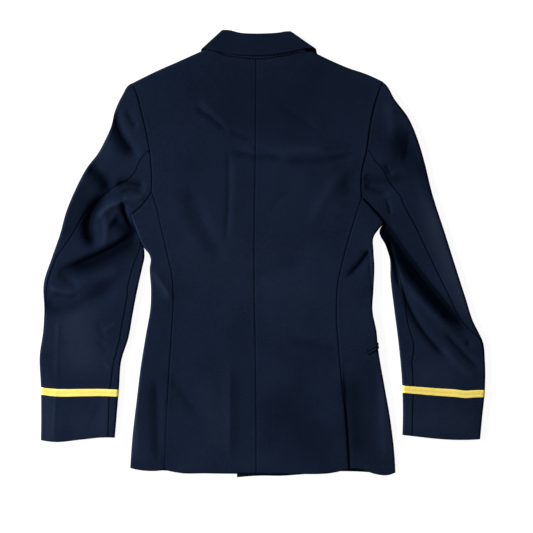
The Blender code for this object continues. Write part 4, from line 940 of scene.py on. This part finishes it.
def makeBack(side):
    shape = bodyShapes(side)[0]
    upper, lower = panelRuns(panel["rollRows"], panel["armholeRows"], panel["seamRows"])

    def skin(shares, rows, depth):
        s, up = spread(shares, upper)
        low = spread(shares, lower)[1]
        v, lift = downThePanel(up, low, depth, s < panel["neckShare"] + backPanel["neckBlend"])
        width = rowWidths(shape, v[:, -1])[:, None]
        gap = np.where(low > 0.0, jacket["seamGap"], jacket["armholeGap"]) / 2
        u = (jacket["seamGap"] / 2 + s * (width - jacket["seamGap"] / 2 - gap)) / width
        plan = shape(u, v)
        plan[..., 0] -= outward(side) * backPanel["centreLap"] * np.exp(-(u * width)**2)
        top = topHeight(plan[..., 0], plan[..., 1], "body")
        vent = ease((low - panel["ventTop"]) / panel["ventFade"])
        outer = (1.0 - u) * width
        factor = np.where(low > 0.0, backPanel["seamDip"], backPanel["armholeDip"])
        top = top - seamDip(u * width, backPanel["centreDip"]) - seamDip(outer, factor) * (1.0 - vent)
        ventEdge = backPanel["ventRise"] * np.exp(-(outer / backPanel["ventReach"])**2)
        top = top + vent * (ventEdge - backPanel["ventHem"] * hemDip(outer))
        neckEdge = backPanel["neckDip"] * np.exp(-(up / backPanel["neckReach"])**2)
        top = top - hemDip(panel["sideLength"] * (1.0 - low)) - neckEdge * (s < panel["neckShare"])
        z = stacked(top, 0.0, lift, True, depth) + jacket["seamGap"] / 2 * (1.0 - lift)
        weave = np.stack([u * width, -plan[..., 1]], -1)
        return solid(plan, z), weave

    return clothPiece("backCloth" + side.title(), crowded(backPanel["columns"]), np.arange(len(upper)),
                      skin, wool, part="body")


sidePanel = {"columns": 64, "rows": 166, "armholeDip": 1.4, "ventDrop": 0.7, "ventReach": 5.0}


def jetLift(x, y, side):
    # the front and the side rise over the pocket jets beneath them
    edge = edgeAt(side, jets["edgeY"])
    end = edge - outward(side) * jets["length"]
    rise = jets["slopeUnder"] * jets["length"]
    low, high = jets["edgeY"] - jets["width"], jets["edgeY"] + jets["width"]
    loop = np.array([(edge, low), (edge, high), (end, high + rise), (end, low + rise), (edge, low)])
    return (jets["gap"] + jets["thick"]) * over(x, y, loop)


def edgeAt(side, y):
    points = curve(bodyEdge[side])(np.linspace(0.0, 1.0, 160))
    return np.interp(-np.asarray(y, float), -points[:, 1], points[:, 0])


# The jets run over the side's folded edge at edgeY. start is where one begins, on top if it is above 0 and
# underneath if it is below, and a slope is how far it falls or climbs for each millimetre from the edge.
# shadow is how far the painted shade reaches in from each jet's border
jets = {"width": 5.6, "apart": 0.3, "thick": 0.8, "length": 135.0, "gap": 0.9, "edgeY": -165.0,
        "slopeTop": 0.54, "slopeUnder": 0.12, "start": {"left": -9.0, "right": 22.5}, "columns": 44,
        "rows": 6, "far": 5.0, "soft": 0.35, "softReach": 0.05, "shadow": 1.6}


def makeSide(side):
    _, above, below, _ = bodyShapes(side)
    v = np.linspace(jacket["armholeGap"] / 2 / panel["sideLength"], 1.0, sidePanel["rows"] + 1)
    widthAbove = rowWidths(above, v)
    widthBelow = rowWidths(below, v)
    start = widthAbove + rollSpare - jacket["seamGap"] / 2
    end = -(widthBelow + rollSpare - jacket["seamGap"] / 2)

    def skin(shares, rows, depth):
        run = columnPlaces(start, end, (0.0 * start,), shares)
        onTop = run >= 0.0
        width = np.where(onTop, widthAbove[:, None], widthBelow[:, None])
        distance, lift = roundEdge(np.abs(run), width, True, False, depth)
        u = distance / width
        vv = v[:, None] + 0.0 * run
        plan = np.where(onTop[..., None], above(u, vv), below(u, vv))
        top = topHeight(plan[..., 0], plan[..., 1], "body")
        vent = ease((vv - panel["ventTop"]) / panel["ventFade"])
        toSeam = width - distance
        top = top - np.where(onTop, seamDip(toSeam) * (1.0 - vent), 0.0)
        top = top - vent * sidePanel["ventDrop"] * np.exp(-(toSeam / sidePanel["ventReach"])**2) * onTop
        top = top - hemDip(panel["sideLength"] * (1.0 - vv))
        top = top - seamDip(panel["sideLength"] * vv, sidePanel["armholeDip"])
        floor = jetLift(plan[..., 0], plan[..., 1], side)
        weave = np.stack([run, -plan[..., 1]], -1)
        return solid(plan, stacked(top, floor, lift, onTop, depth)), weave

    return clothPiece("sideCloth" + side.title(), even(sidePanel["columns"]), v, skin, wool, part="body")


ventLap = {"width": 24.0, "inset": 0.3, "gap": 0.55, "above": 0.002, "columns": 8, "rows": 40}


def makeVent(side):
    line = curve(sideBack[side])
    v = panel["ventTop"] + (1.0 - panel["ventTop"]) * even(ventLap["rows"]) - ventLap["above"]

    def skin(shares, rows, depth):
        s, vv = spread(shares, v)
        plan = line(vv)
        plan[..., 0] -= outward(side) * (ventLap["inset"] + s * ventLap["width"])
        z = topHeight(plan[..., 0], plan[..., 1], "body") - jacket["cloth"] - ventLap["gap"] - depth
        z = z - hemDip(panel["sideLength"] * (1.0 - v[:, None]))
        return solid(plan, z), np.stack([s * ventLap["width"], -plan[..., 1]], -1)

    return clothPiece("ventCloth" + side.title(), even(ventLap["columns"]), v, skin, woolUnderShaded)


buttons = {"radius": 11.0, "height": 3.0, "dome": 2.1, "domeAngle": 70, "rim": 0.7,
           "domeSteps": (62, 54, 46, 38, 30, 22, 14, 7, 0), "sharpAngle": 35,
           "columns": (-32.3, 55.7), "rows": (40.0, -45.0, -130.0), "steps": 48}


def lapelShape(side):
    end = curve((rollLine[side][-1], lapelEdge[side][-1]))
    return patch(curve(rollLine[side]), curve(lapelEdge[side]), curve(gorge[side]), end)


def collarShapes():
    folds = {s: curve((collarRoll[s][0], collarEnd[s][0])) for s in ("left", "right")}
    back = patch(folds["left"], folds["right"], curve(collarTop), curve(collarHem))
    ends = {s: patch(folds[s], curve((collarRoll[s][-1], collarEnd[s][-1])), curve(collarRoll[s]),
                     curve(collarEnd[s])) for s in ("left", "right")}
    return back, ends["left"], ends["right"]


def disc(x, y, radius):
    turn = np.linspace(0.0, 2 * math.pi, 13)
    return np.stack([x + radius * np.cos(turn), y + radius * np.sin(turn)], -1)


# what the fronts rise over: layer is for a lapel or collar end, the others are a button's gap, and the wall
# and gap of the right lapel on its own level
frontPanel = {"columns": 56, "crowd": 0.4, "rollRows": 6, "armholeRows": 36, "seamRows": 80, "cloth": 1.2,
              "layer": 1.8, "buttonGap": 0.3, "lapelWall": 1.5, "lapelGap": 0.5}


def frontFloor(side, x, y):
    ends = frontPanel["layer"] * over(x, y, outline(collarShapes()[1 if side == "left" else 2]))
    underJets = jetLift(x, y, side)
    if side == "left":
        domes = np.zeros(np.shape(x))
        for bx in buttons["columns"]:
            for by in buttons["rows"]:
                domes = np.maximum(domes, over(x, y, disc(bx, by, buttons["radius"])))
        lapel = frontPanel["layer"] * over(x, y, outline(lapelShape("left")))
        domes = (buttons["height"] + frontPanel["buttonGap"]) * domes
        return np.max((domes, lapel, ends, underJets), axis=0)
    level = np.interp(y, *np.array(rightLevel).T)
    onLeft = level * over(x, y, outline(bodyShapes("left")[3]))
    lapelTop = level + frontPanel["lapelWall"] + frontPanel["lapelGap"]
    onLapel = lapelTop * over(x, y, outline(lapelShape("right")))
    return np.max((onLeft, onLapel, ends, underJets), axis=0)


def makeFront(side):
    shape = bodyShapes(side)[3]
    upper, lower = panelRuns(frontPanel["rollRows"], frontPanel["armholeRows"], frontPanel["seamRows"])

    def skin(shares, rows, depth):
        s, up = spread(shares, upper)
        low = spread(shares, lower)[1]
        v, lift = downThePanel(up, low, depth, np.zeros(s.shape, bool))
        width = rowWidths(shape, v[:, -1])[:, None]
        gap = np.where(low > 0.0, jacket["seamGap"], jacket["armholeGap"]) / 2
        plan = shape((gap + s * (width - jacket["seamGap"] / 2 - gap)) / width, v)
        top = topHeight(plan[..., 0], plan[..., 1], "body")
        floor = frontFloor(side, plan[..., 0], plan[..., 1])
        middle = 0.5 * top
        z = middle + (floor + depth - middle) * lift - jacket["seamGap"] / 2 * (1.0 - lift)
        return solid(plan, z), np.stack([s * width, -plan[..., 1]], -1)

    return clothPiece("frontCloth" + side.title(), crowded(frontPanel["columns"], frontPanel["crowd"]),
                      np.arange(len(upper)), skin, wool, frontPanel["cloth"])


lapel = {"columns": 20, "rows": 60, "cloth": 1.2}


def makeLapel(side):
    shape = lapelShape(side)
    v = even(lapel["rows"])

    def skin(shares, rows, depth):
        plan = shape(*spread(shares, v))
        floor = np.zeros(plan.shape[:2])
        if side == "right":
            floor = np.interp(plan[..., 1], *np.array(rightLevel).T)
        return solid(plan, floor + depth), plan

    return clothPiece("lapelCloth" + side.title(), even(lapel["columns"]), v, skin, wool, lapel["cloth"])


# tall is the leaf's height at the shares of its width in tallAt. The stand reaches standTuck under the back
# and drops over standFade beside the neck seam, so that no floor shows there.
collar = {"columns": 150, "rows": 30, "crowd": 0.7, "near": 1.2, "far": 3.2, "top": 12.0, "cloth": 1.5,
          "swell": 0.25, "topRoll": 3.4, "topDrop": 3.0, "edgeRoll": 2.2, "edgeDrop": 0.7,
          "tallAt": (0.0, 0.15, 0.5, 0.85, 1.0), "tall": (34.0, 42.0, 40.0, 35.0, 31.0),
          "standCloth": 1.3, "standGap": 0.3, "standTall": 39.0, "standTuck": 7.0, "standDrop": 2.7,
          "standFade": 5.0, "standColumns": 70, "standRows": 17}


def makeCollarLeaf():
    back, left, right = collarShapes()
    v = crowded(collar["rows"], collar["crowd"])
    widths = [rowWidths(shape, v) for shape in (left, back, right)]
    first = widths[0] + rollSpare
    second = first + widths[1] + 2 * rollSpare
    total = second + widths[2] + rollSpare

    def skin(shares, rows, depth):
        run = columnPlaces(0.0 * v, total, (first, second), shares, collar["near"], collar["far"])
        a, b = first[:, None], second[:, None]
        wl, wb, wr = (w[:, None] for w in widths)
        onLeft = run < a
        onRight = run > b
        leftAt, leftLift = roundEdge(a - run, wl, True, False, depth)
        backAt, backLift = roundEdge(run - a, wb, True, True, depth)
        rightAt, rightLift = roundEdge(run - b, wr, True, False, depth)
        vv = v[:, None] + 0.0 * run
        plan = np.where(onLeft[..., None], left(leftAt / wl, vv),
                        np.where(onRight[..., None], right(rightAt / wr, vv), back(backAt / wb, vv)))
        lift = np.where(onLeft, leftLift, np.where(onRight, rightLift, backLift))
        onTop = ~(onLeft | onRight)
        tall = np.interp(backAt / wb, collar["tallAt"], collar["tall"])
        top = collar["top"] + collar["swell"] * swellLift(plan[..., 0], plan[..., 1])
        top = top - collar["topDrop"] * roundedDrop(1.0 - vv * tall / collar["topRoll"])
        top = top - collar["edgeDrop"] * roundedDrop(1.0 - (1.0 - vv) * tall / collar["edgeRoll"])
        z = stacked(top, 0.0, lift, onTop, depth)
        return solid(plan, z), np.stack([run, vv * tall], -1)

    return clothPiece("collarLeaf", even(collar["columns"]), v, skin, leafWool, collar["cloth"])


def neckSeam(t):
    # the back's own neck edge, between the two ends of the stand
    places = np.concatenate([curve(neck["left"])(np.linspace(1.0, 0.0, 80)),
                             curve(neck["right"])(np.linspace(0.0, 1.0, 80))])
    x = standHem[0][0] + (standHem[-1][0] - standHem[0][0]) * np.asarray(t, float)
    return np.stack([x, np.interp(x, places[:, 0], places[:, 1]) - collar["standTuck"]], -1)


def makeCollarStand():
    shape = patch(curve((standTop[0], neckSeam(0.0))), curve((standTop[-1], neckSeam(1.0))),
                  curve(standTop), neckSeam)
    v = even(collar["standRows"])

    def skin(shares, rows, depth):
        s, vv = spread(shares, v)
        plan = shape(s, vv)
        z = collar["top"] - collar["cloth"] - collar["standGap"] - depth
        fromHem = (1.0 - vv) * (collar["standTall"] + collar["standTuck"])
        z = z - collar["standDrop"] * ease(1.0 - (fromHem - collar["standTuck"]) / collar["standFade"])
        return solid(plan, z), np.stack([plan[..., 0], fromHem], -1)

    return clothPiece("collarStand", even(collar["standColumns"]), v, skin, standWoolShadowed,
                      collar["standCloth"])


# the stand is wool with a line of picked stitches just above the neck seam
standStitch = {"pitch": 0.0056, "length": 0.4, "place": 0.0092, "halfWidth": 0.0005,
               "thread": (0.024, 0.031, 0.046, 1.0)}
leafWool = makeWool("leafWool", {**navyWool, "dark": (0.0018, 0.0034, 0.0086, 1.0),
                                 "light": (0.0034, 0.0064, 0.0160, 1.0)})
# a much darker copy of the wool for the stand: painted shadow under the collar leaf
standWoolShadowed = makeWool("standWoolShadowed", {**navyWool, "dark": (0.0014, 0.0026, 0.0066, 1.0),
                                   "light": (0.0022, 0.0044, 0.0120, 1.0)})
standTree = standWoolShadowed.node_tree
standColor = standTree.nodes["Principled BSDF"].inputs["Base Color"]
along, fromHem = addParts(standTree, addWeave(standTree))
pace = math2(standTree, "FRACT", math2(standTree, "DIVIDE", along, standStitch["pitch"]))
dash = math2(standTree, "LESS_THAN", pace, standStitch["length"])
onLine = math2(standTree, "LESS_THAN", offLine(standTree, fromHem, standStitch["place"]),
               standStitch["halfWidth"])
stitch = math2(standTree, "MULTIPLY", dash, onLine)
plainWool = standColor.links[0].from_socket
standTree.links.new(mixColor(standTree, stitch, plainWool, standStitch["thread"]), standColor)

# sleeves: rows are numbered as on the solids, so that the seams, the cap and the lace lie as they do there
sleeve = {"headTuck": 3.2, "headRise": 0.4, "capRows": 9, "armRows": 12, "cuffRows": 2, "capLevel": 95.0,
          "hindEnd": 2.0, "hindFade": 4.0, "away": 0.45, "seamGap": 0.3, "forearmStart": 4.0,
          "cuffLift": 1.1, "cuffFrom": -150.0, "cuffFade": 50.0, "columnsTop": 104, "columnsUnder": 72,
          "fineRows": (70, 118, 10, 34), "seamDip": 0.85, "dipStart": 0.02, "dipFade": 0.03,
          "armholeDip": 1.0, "length": 700.0, "weaveLength": 640.0}
sleeveRows = sleeve["capRows"] + sleeve["armRows"] + 1 + sleeve["cuffRows"]
laceMiddle = {"left": (-246.4, -250.4), "right": (-251.1, -243.0)}
# step is how far the right band dips at x = stepAt, as in the photograph
lace = {"step": 1.6, "stepAt": 364.0, "stepWidth": 14.0, "width": 12.7, "thick": 0.8, "gap": 0.3, "rows": 14,
        "groove": 0.16, "grooveWidth": 0.5, "edge": 0.3, "edgeWidth": 0.6}


def laceShares(line, middle):
    t = np.linspace(0.5, 1.0, 400)
    y = line(t)[:, 1]
    return [np.interp(-level, -y, t) for level in (middle + lace["width"] / 2, middle - lace["width"] / 2)]


def sleeveShapes(side):
    outer = curve(sleeveOuter[side])
    inner = curve(sleeveInner[side])
    hem = curve(cuffHem[side])
    cap, arm = sleeve["capRows"], sleeve["armRows"]
    rows = np.array((0, cap, cap + arm, cap + arm + 1, sleeveRows)) / sleeveRows
    t = np.linspace(0.0, 0.6, 400)
    level = np.interp(-sleeve["capLevel"], -outer(t)[:, 1], t)
    outerShares = [0.0, level, *laceShares(outer, laceMiddle[side][0]), 1.0]
    innerShares = [0.0, *laceShares(inner, laceMiddle[side][1]), 1.0]
    away = outward(side) * sleeve["away"]

    def withTop(armhole, under):
        shifted = [(x + away, y) for x, y in armhole]
        shifted[0] = (shifted[0][0] - sleeve["headTuck"] * away, shifted[0][1] + sleeve["headRise"])
        lower = [(x + away, y + 0.5 * sleeve["away"]) for x, y in under[:-1]]
        underLine = curve(lower + [sleeveInner[side][0]])

        def innerEdge(v):
            v = np.asarray(v, float)
            above = underLine(np.clip(v / rows[1], 0.0, 1.0))
            below = inner(np.interp(v, rows[1:], innerShares))
            return np.where((v < rows[1])[..., None], above, below)

        shape = patch(lambda v: outer(np.interp(v, rows, outerShares)), innerEdge, curve(shifted), hem)

        def at(u, v):
            # the hem's bow fades within a few rows above it
            share = np.asarray(u, float)[..., None]
            level = np.asarray(v, float)[..., None]
            bow = hem(u) - (1 - share) * hem(0.0) - share * hem(1.0)
            return shape(u, v) + (level**6 - level) * bow

        return at

    above = withTop(armholeBack[side], armholeUnder[side])
    below = withTop(armholeFront[side], armholeFrontUnder[side])
    return above, below, rows


search = {"rounds": 7, "places": 31, "shrink": 0.25}


def locate(shape, x, y):
    # u and v of a place on a patch, by a search that closes in
    u, v, reach = 0.5, 0.5, 0.5
    for _ in range(search["rounds"]):
        us, vs = np.meshgrid(*(np.clip(np.linspace(a - reach, a + reach, search["places"]), 0, 1)
                               for a in (u, v)))
        gap = np.hypot(*np.moveaxis(shape(us, vs) - (x, y), -1, 0))
        best = np.unravel_index(np.argmin(gap), gap.shape)
        u, v, reach = us[best], vs[best], reach * search["shrink"]
    return u, v


def seamRuns(shape, table, v):
    # how far a seam is from the outer edge, on the rows at v
    places = np.array([locate(shape, x, y) for x, y in table])
    distance = places[:, 0] * rowWidths(shape, places[:, 1])
    return np.interp(v, places[:, 1], distance), places[:, 1]


def clothRun(distance):
    roll = jacket["roll"]
    rolled = roll * np.arccos(np.clip(1.0 - distance / roll, 0.0, 1.0))
    return np.where(distance < roll, rolled, distance + rollSpare)


def sleeveSkin(side, piece, v, seams=1.0):
    above, below, _ = sleeveShapes(side)
    armholes = (curve(armholeBack[side])(np.linspace(0.0, 1.0, 40)),
                curve(armholeUnder[side])(np.linspace(0.0, 1.0, 14)))
    row = v * sleeveRows
    closed = np.clip((row - sleeve["capRows"] + 1) / 2, 0.0, 1.0)
    spanAbove, spanBelow = rowWidths(above, v), rowWidths(below, v)
    widthAbove = spanAbove + jacket["roll"] * (1.0 - closed)
    widthBelow = spanBelow + jacket["roll"] * (1.0 - closed)
    distance, known = seamRuns(above, hindSeam[side], v)
    hind = clothRun(distance)
    past = np.clip((v - known[-1]) / (1.0 - known[-1]), 0.0, 1.0)
    hind = hind + (sleeve["hindEnd"] - hind) * ease(sleeve["hindFade"] * past)
    distance, _ = seamRuns(above, forearmSeam[side], v)
    fore = clothRun(np.maximum(spanAbove - distance, 0.0))
    fore = fore * ease((row - sleeve["capRows"]) / sleeve["forearmStart"])
    fullAbove = widthAbove + 2 * rollSpare
    fullBelow = widthBelow + 2 * rollSpare
    openArc = rollArc * (1.0 - closed)
    gap = sleeve["seamGap"] / 2

    def skin(shares, rows, depth):
        if piece == "under":
            start, end = hind + gap, fullAbove - openArc - fore - gap
            path = columnPlaces(start, end, (0.0 * hind, fullAbove), shares)
            onTop = path >= 0.0
            run = np.abs(path)
        else:
            start, end = 0.0 * hind + gap, hind + fullBelow - openArc + fore - gap
            path = columnPlaces(start, end, (hind, hind + fullBelow), shares)
            turn = hind[:, None]
            after = path > turn + fullBelow[:, None]
            onTop = (path < turn) | after
            beyond = path - turn - fullBelow[:, None]
            run = np.where(after, fullAbove[:, None] - beyond, np.abs(path - turn))
        width = np.where(onTop, widthAbove[:, None], widthBelow[:, None])
        distance, lift = roundEdge(run, width, True, True, depth)
        u = distance / np.where(onTop, spanAbove[:, None], spanBelow[:, None])
        vv = v[:, None] + 0.0 * run
        plan = np.where(onTop[..., None], above(u, vv), below(u, vv))
        x, y = plan[..., 0], plan[..., 1]
        top = topHeight(x, y, side)
        toSeam = np.minimum(path - start[:, None], end[:, None] - path)
        dip = seams * seamDip(toSeam, sleeve["seamDip"])
        dip = dip * ease((vv - sleeve["dipStart"]) / sleeve["dipFade"])
        for line in armholes:
            dip = np.maximum(dip, seamDip(nearest(x, y, line)[0], sleeve["armholeDip"]))
        top = top - dip - hemDip((1.0 - vv) * sleeve["length"])
        floor = sleeve["cuffLift"] * ease((sleeve["cuffFrom"] - y) / sleeve["cuffFade"])
        weave = np.stack([path, vv * sleeve["weaveLength"]], -1)
        return solid(plan, stacked(top, floor, lift, onTop, depth)), weave

    return skin


def makeSleeve(side, piece):
    rows = sleeveShapes(side)[2]
    v = np.concatenate([np.linspace(rows[i], rows[i + 1], count, endpoint=False)
                        for i, count in enumerate(sleeve["fineRows"])] + [[1.0]])
    count = sleeve["columnsTop"] if piece == "top" else sleeve["columnsUnder"]
    name = "sleeve" + piece.title() + side.title()
    return clothPiece(name, even(count), v, sleeveSkin(side, piece, v), wool, part=side)


def makeLace(side):
    # a strip of the sleeve's own places, moved out, that starts and ends at the hind-arm seam
    rows = sleeveShapes(side)[2]
    v = np.linspace(rows[2], rows[3], lace["rows"] + 1)
    top, under = sleeveSkin(side, "top", v, 0.0), sleeveSkin(side, "under", v, 0.0)
    columns = sleeve["columnsTop"] + sleeve["columnsUnder"] + 1
    t = even(lace["rows"])
    across = t * lace["width"]
    groove = lace["groove"] * sum(np.exp(-((across - place * 1000) / lace["grooveWidth"])**2)
                                  for place, _ in goldLace["lines"])
    edge = lace["edge"] * (np.exp(-(across / lace["edgeWidth"])**2)
                           + np.exp(-((1 - t) * lace["width"] / lace["edgeWidth"])**2))
    raised = -(lace["gap"] + lace["thick"] - groove - edge)

    def skin(shares, _, depth):
        out = np.full(len(v), -lace["gap"]) if depth > 0.0 else raised
        places = np.empty((len(v), columns + 1, 3))
        for away in np.unique(out):
            a, _ = top(even(sleeve["columnsTop"]), v, away)
            b, _ = under(even(sleeve["columnsUnder"]), v, away)
            places[out == away] = np.concatenate([a, b[:, ::-1]], axis=1)[out == away]
        steps = np.hypot(*np.diff(places[0, :, :2], axis=0).T) + np.abs(np.diff(places[0, :, 2]))
        weave = np.stack(spread(np.concatenate([[0.0], np.cumsum(steps)]), across), -1)
        if side == "right":
            nearStep = np.exp(-((places[..., 0] - lace["stepAt"]) / lace["stepWidth"])**2)
            places[..., 1] -= lace["step"] * nearStep
        return places, weave

    return clothPiece("lace" + side.title(), even(columns), v, skin, laceGold, lace["thick"])


def makeJet(side, which):
    offset = (0.5 if which == "Upper" else -0.5) * jets["width"]
    t = even(jets["rows"])

    def skin(shares, _, depth):
        row = spread(shares, t)[1]
        across = offset + (row - 0.5) * (jets["width"] - jets["apart"])
        start, end = np.full(len(t), jets["start"][side]), np.full(len(t), -jets["length"])
        run = columnPlaces(start, end, (0.0 * start,), shares, far=jets["far"])
        onTop = run >= 0.0
        thick = depth * jets["thick"] / jacket["cloth"] - jets["gap"] - jets["thick"]
        if depth == 0.0:
            thick = thick + jets["soft"] * np.exp(-((row * (1 - row)) / jets["softReach"])**2)
        distance, lift = roundEdge(np.abs(run), jets["length"], True, False, thick)
        slope = np.where(onTop, -jets["slopeTop"], jets["slopeUnder"])
        y = jets["edgeY"] + across + slope * distance
        plan = np.stack([edgeAt(side, y) - outward(side) * distance, y], -1)
        top = topHeight(plan[..., 0], plan[..., 1], "body")
        z = stacked(top, jets["gap"] + jets["thick"], lift, onTop, thick)
        return solid(plan, z), np.stack([run, across], -1)

    return clothPiece("jet" + which + side.title(), even(jets["columns"]), t, skin, jetWoolLitAndShaded,
                      shadow=jets["shadow"])


def makeButton(number, x, y):
    # half an outline, face down, turned about its axis
    radius, height, dome, rim = buttons["radius"], buttons["height"], buttons["dome"], buttons["rim"]
    profile = [(0.0, height), (radius - 0.6, height), (radius - 0.15, height - 0.2), (radius, height - 0.55),
               (radius, dome + 0.15), (radius - 0.2, dome), (radius - rim, dome - 0.1)]
    whole = math.radians(buttons["domeAngle"])
    for degrees in buttons["domeSteps"]:
        turn = math.radians(degrees)
        profile.append(((radius - rim) * math.sin(turn) / math.sin(whole),
                        dome * (1 - math.cos(turn)) / (1 - math.cos(whole))))
    bm = bmesh.new()
    last = None
    for px, pz in profile:
        vert = bm.verts.new((px * jacket["metres"], 0.0, pz * jacket["metres"]))
        if last is not None:
            bm.edges.new((last, vert))
        last = vert
    bmesh.ops.spin(bm, geom=bm.verts[:] + bm.edges[:], cent=(0, 0, 0), axis=(0, 0, 1), angle=2 * math.pi,
                   steps=buttons["steps"], use_merge=True)
    bmesh.ops.remove_doubles(bm, verts=bm.verts[:], dist=0.000005)
    bmesh.ops.recalc_face_normals(bm, faces=bm.faces[:])
    place = [(a - b) * jacket["metres"] for a, b in zip((x, y), jacket["centre"])]
    bmesh.ops.translate(bm, verts=bm.verts[:], vec=(*place, 0.0))
    mesh = bpy.data.meshes.new(f"giltButton{number}")
    bm.to_mesh(mesh)
    bm.free()
    return finished(f"giltButton{number}", mesh, gilt, buttons["sharpAngle"])


def settle(piece, node):
    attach(piece, "root")
    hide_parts(node)
    return piece


def clothArea(piece):
    return sum(face.area for face in piece.data.polygons) / 2


def declare(piece):
    print(piece.name, "area", round(clothArea(piece), 5), "faces", len(piece.data.polygons))


for side in ("left", "right"):
    back = settle(makeBack(side), "back_" + side)
    declare(back)
    sides = settle(makeSide(side), "side_" + side)
    declare(sides)
    vent = settle(makeVent(side), "vent_" + side)
    declare(vent)
    front = settle(makeFront(side), "front_" + side)
    declare(front)
    print("body", side)
    turned = settle(makeLapel(side), "lapel_" + side)
    declare(turned)
    for piece in ("top", "under"):
        arm = settle(makeSleeve(side, piece), f"sleeve_{side}_{piece}")
        declare(arm)
    print("sleeve", side)
    band = settle(makeLace(side), "lace_" + side)
    declare(band)
    for which in ("Upper", "Lower"):
        jet = settle(makeJet(side, which), f"jet_{side}_{which.lower()}")
        declare(jet)
    print("lace and pocket", side)

leaf = settle(makeCollarLeaf(), "collar_leaf")
declare(leaf)
stand = settle(makeCollarStand(), "collar_stand")
declare(stand)
for number, (x, y) in enumerate([(x, y) for x in buttons["columns"] for y in buttons["rows"]], 1):
    settle(makeButton(number, x, y), f"button_{number}")
print("collar and buttons")

# Floor, light and camera. Nearly all of the paper's white is its own glow, which keeps it even, with no
# hard shadow. frame is the width that the picture shows at the floor.
studio = {"floor": 3.0, "floorColor": (0.12, 0.12, 0.12, 1.0), "roughness": 0.9, "glow": 0.93,
          "glowColor": (1.0, 1.0, 1.0, 1.0), "drop": 0.0002, "height": 6.0, "frame": 0.9594, "sensor": 36.0,
          "aim": (0.0072, -0.02306), "world": 0.11, "worldColor": (0.95, 0.97, 1.0, 1.0),
          "lights": (("window", (-5.3, 1.9, 2.6), 1.8, 1000.0), ("fill", (3.5, 1.5, 5.0), 2.4, 40.0),
                     ("low window", (-1.9, -1.3, 0.8), 0.7, 48.0))}
bm = bmesh.new()
bmesh.ops.create_grid(bm, x_segments=1, y_segments=1, size=studio["floor"])
bmesh.ops.translate(bm, verts=bm.verts[:], vec=(0, 0, -studio["drop"]))
floorMesh = bpy.data.meshes.new("studioFloor")
bm.to_mesh(floorMesh)
bm.free()
paper, _, paperShader = newFinish("studioPaper")
paperShader.inputs["Base Color"].default_value = studio["floorColor"]
paperShader.inputs["Roughness"].default_value = studio["roughness"]
paperShader.inputs["Emission Color"].default_value = studio["glowColor"]
paperShader.inputs["Emission Strength"].default_value = studio["glow"]
floorMesh.materials.append(paper)
floor = addObject("studioFloor", floorMesh)

world = bpy.data.worlds.new("studioWorld")
world.use_nodes = True
background = world.node_tree.nodes["Background"]
background.inputs["Color"].default_value = studio["worldColor"]
background.inputs["Strength"].default_value = studio["world"]
bpy.context.scene.world = world
for name, place, size, power in studio["lights"]:
    lamp = bpy.data.lights.new(name, "AREA")
    lamp.shape = "DISK"
    lamp.size = size
    lamp.energy = power
    holder = addObject(name, lamp)
    holder.location = place
    reach = math.hypot(place[0], place[1])
    holder.rotation_euler = (math.atan2(reach, place[2]), 0.0, math.atan2(place[1], place[0]) + math.pi / 2)
eye = bpy.data.cameras.new("studioCamera")
eye.type = "PERSP"
eye.sensor_width = studio["sensor"]
eye.lens = studio["sensor"] * studio["height"] / studio["frame"]
eye.clip_end = 50.0
camera = addObject("studioCamera", eye)
camera.location = (*studio["aim"], studio["height"])
bpy.context.scene.camera = camera
bpy.context.scene.view_settings.view_transform = "Standard"
print("studio ready")
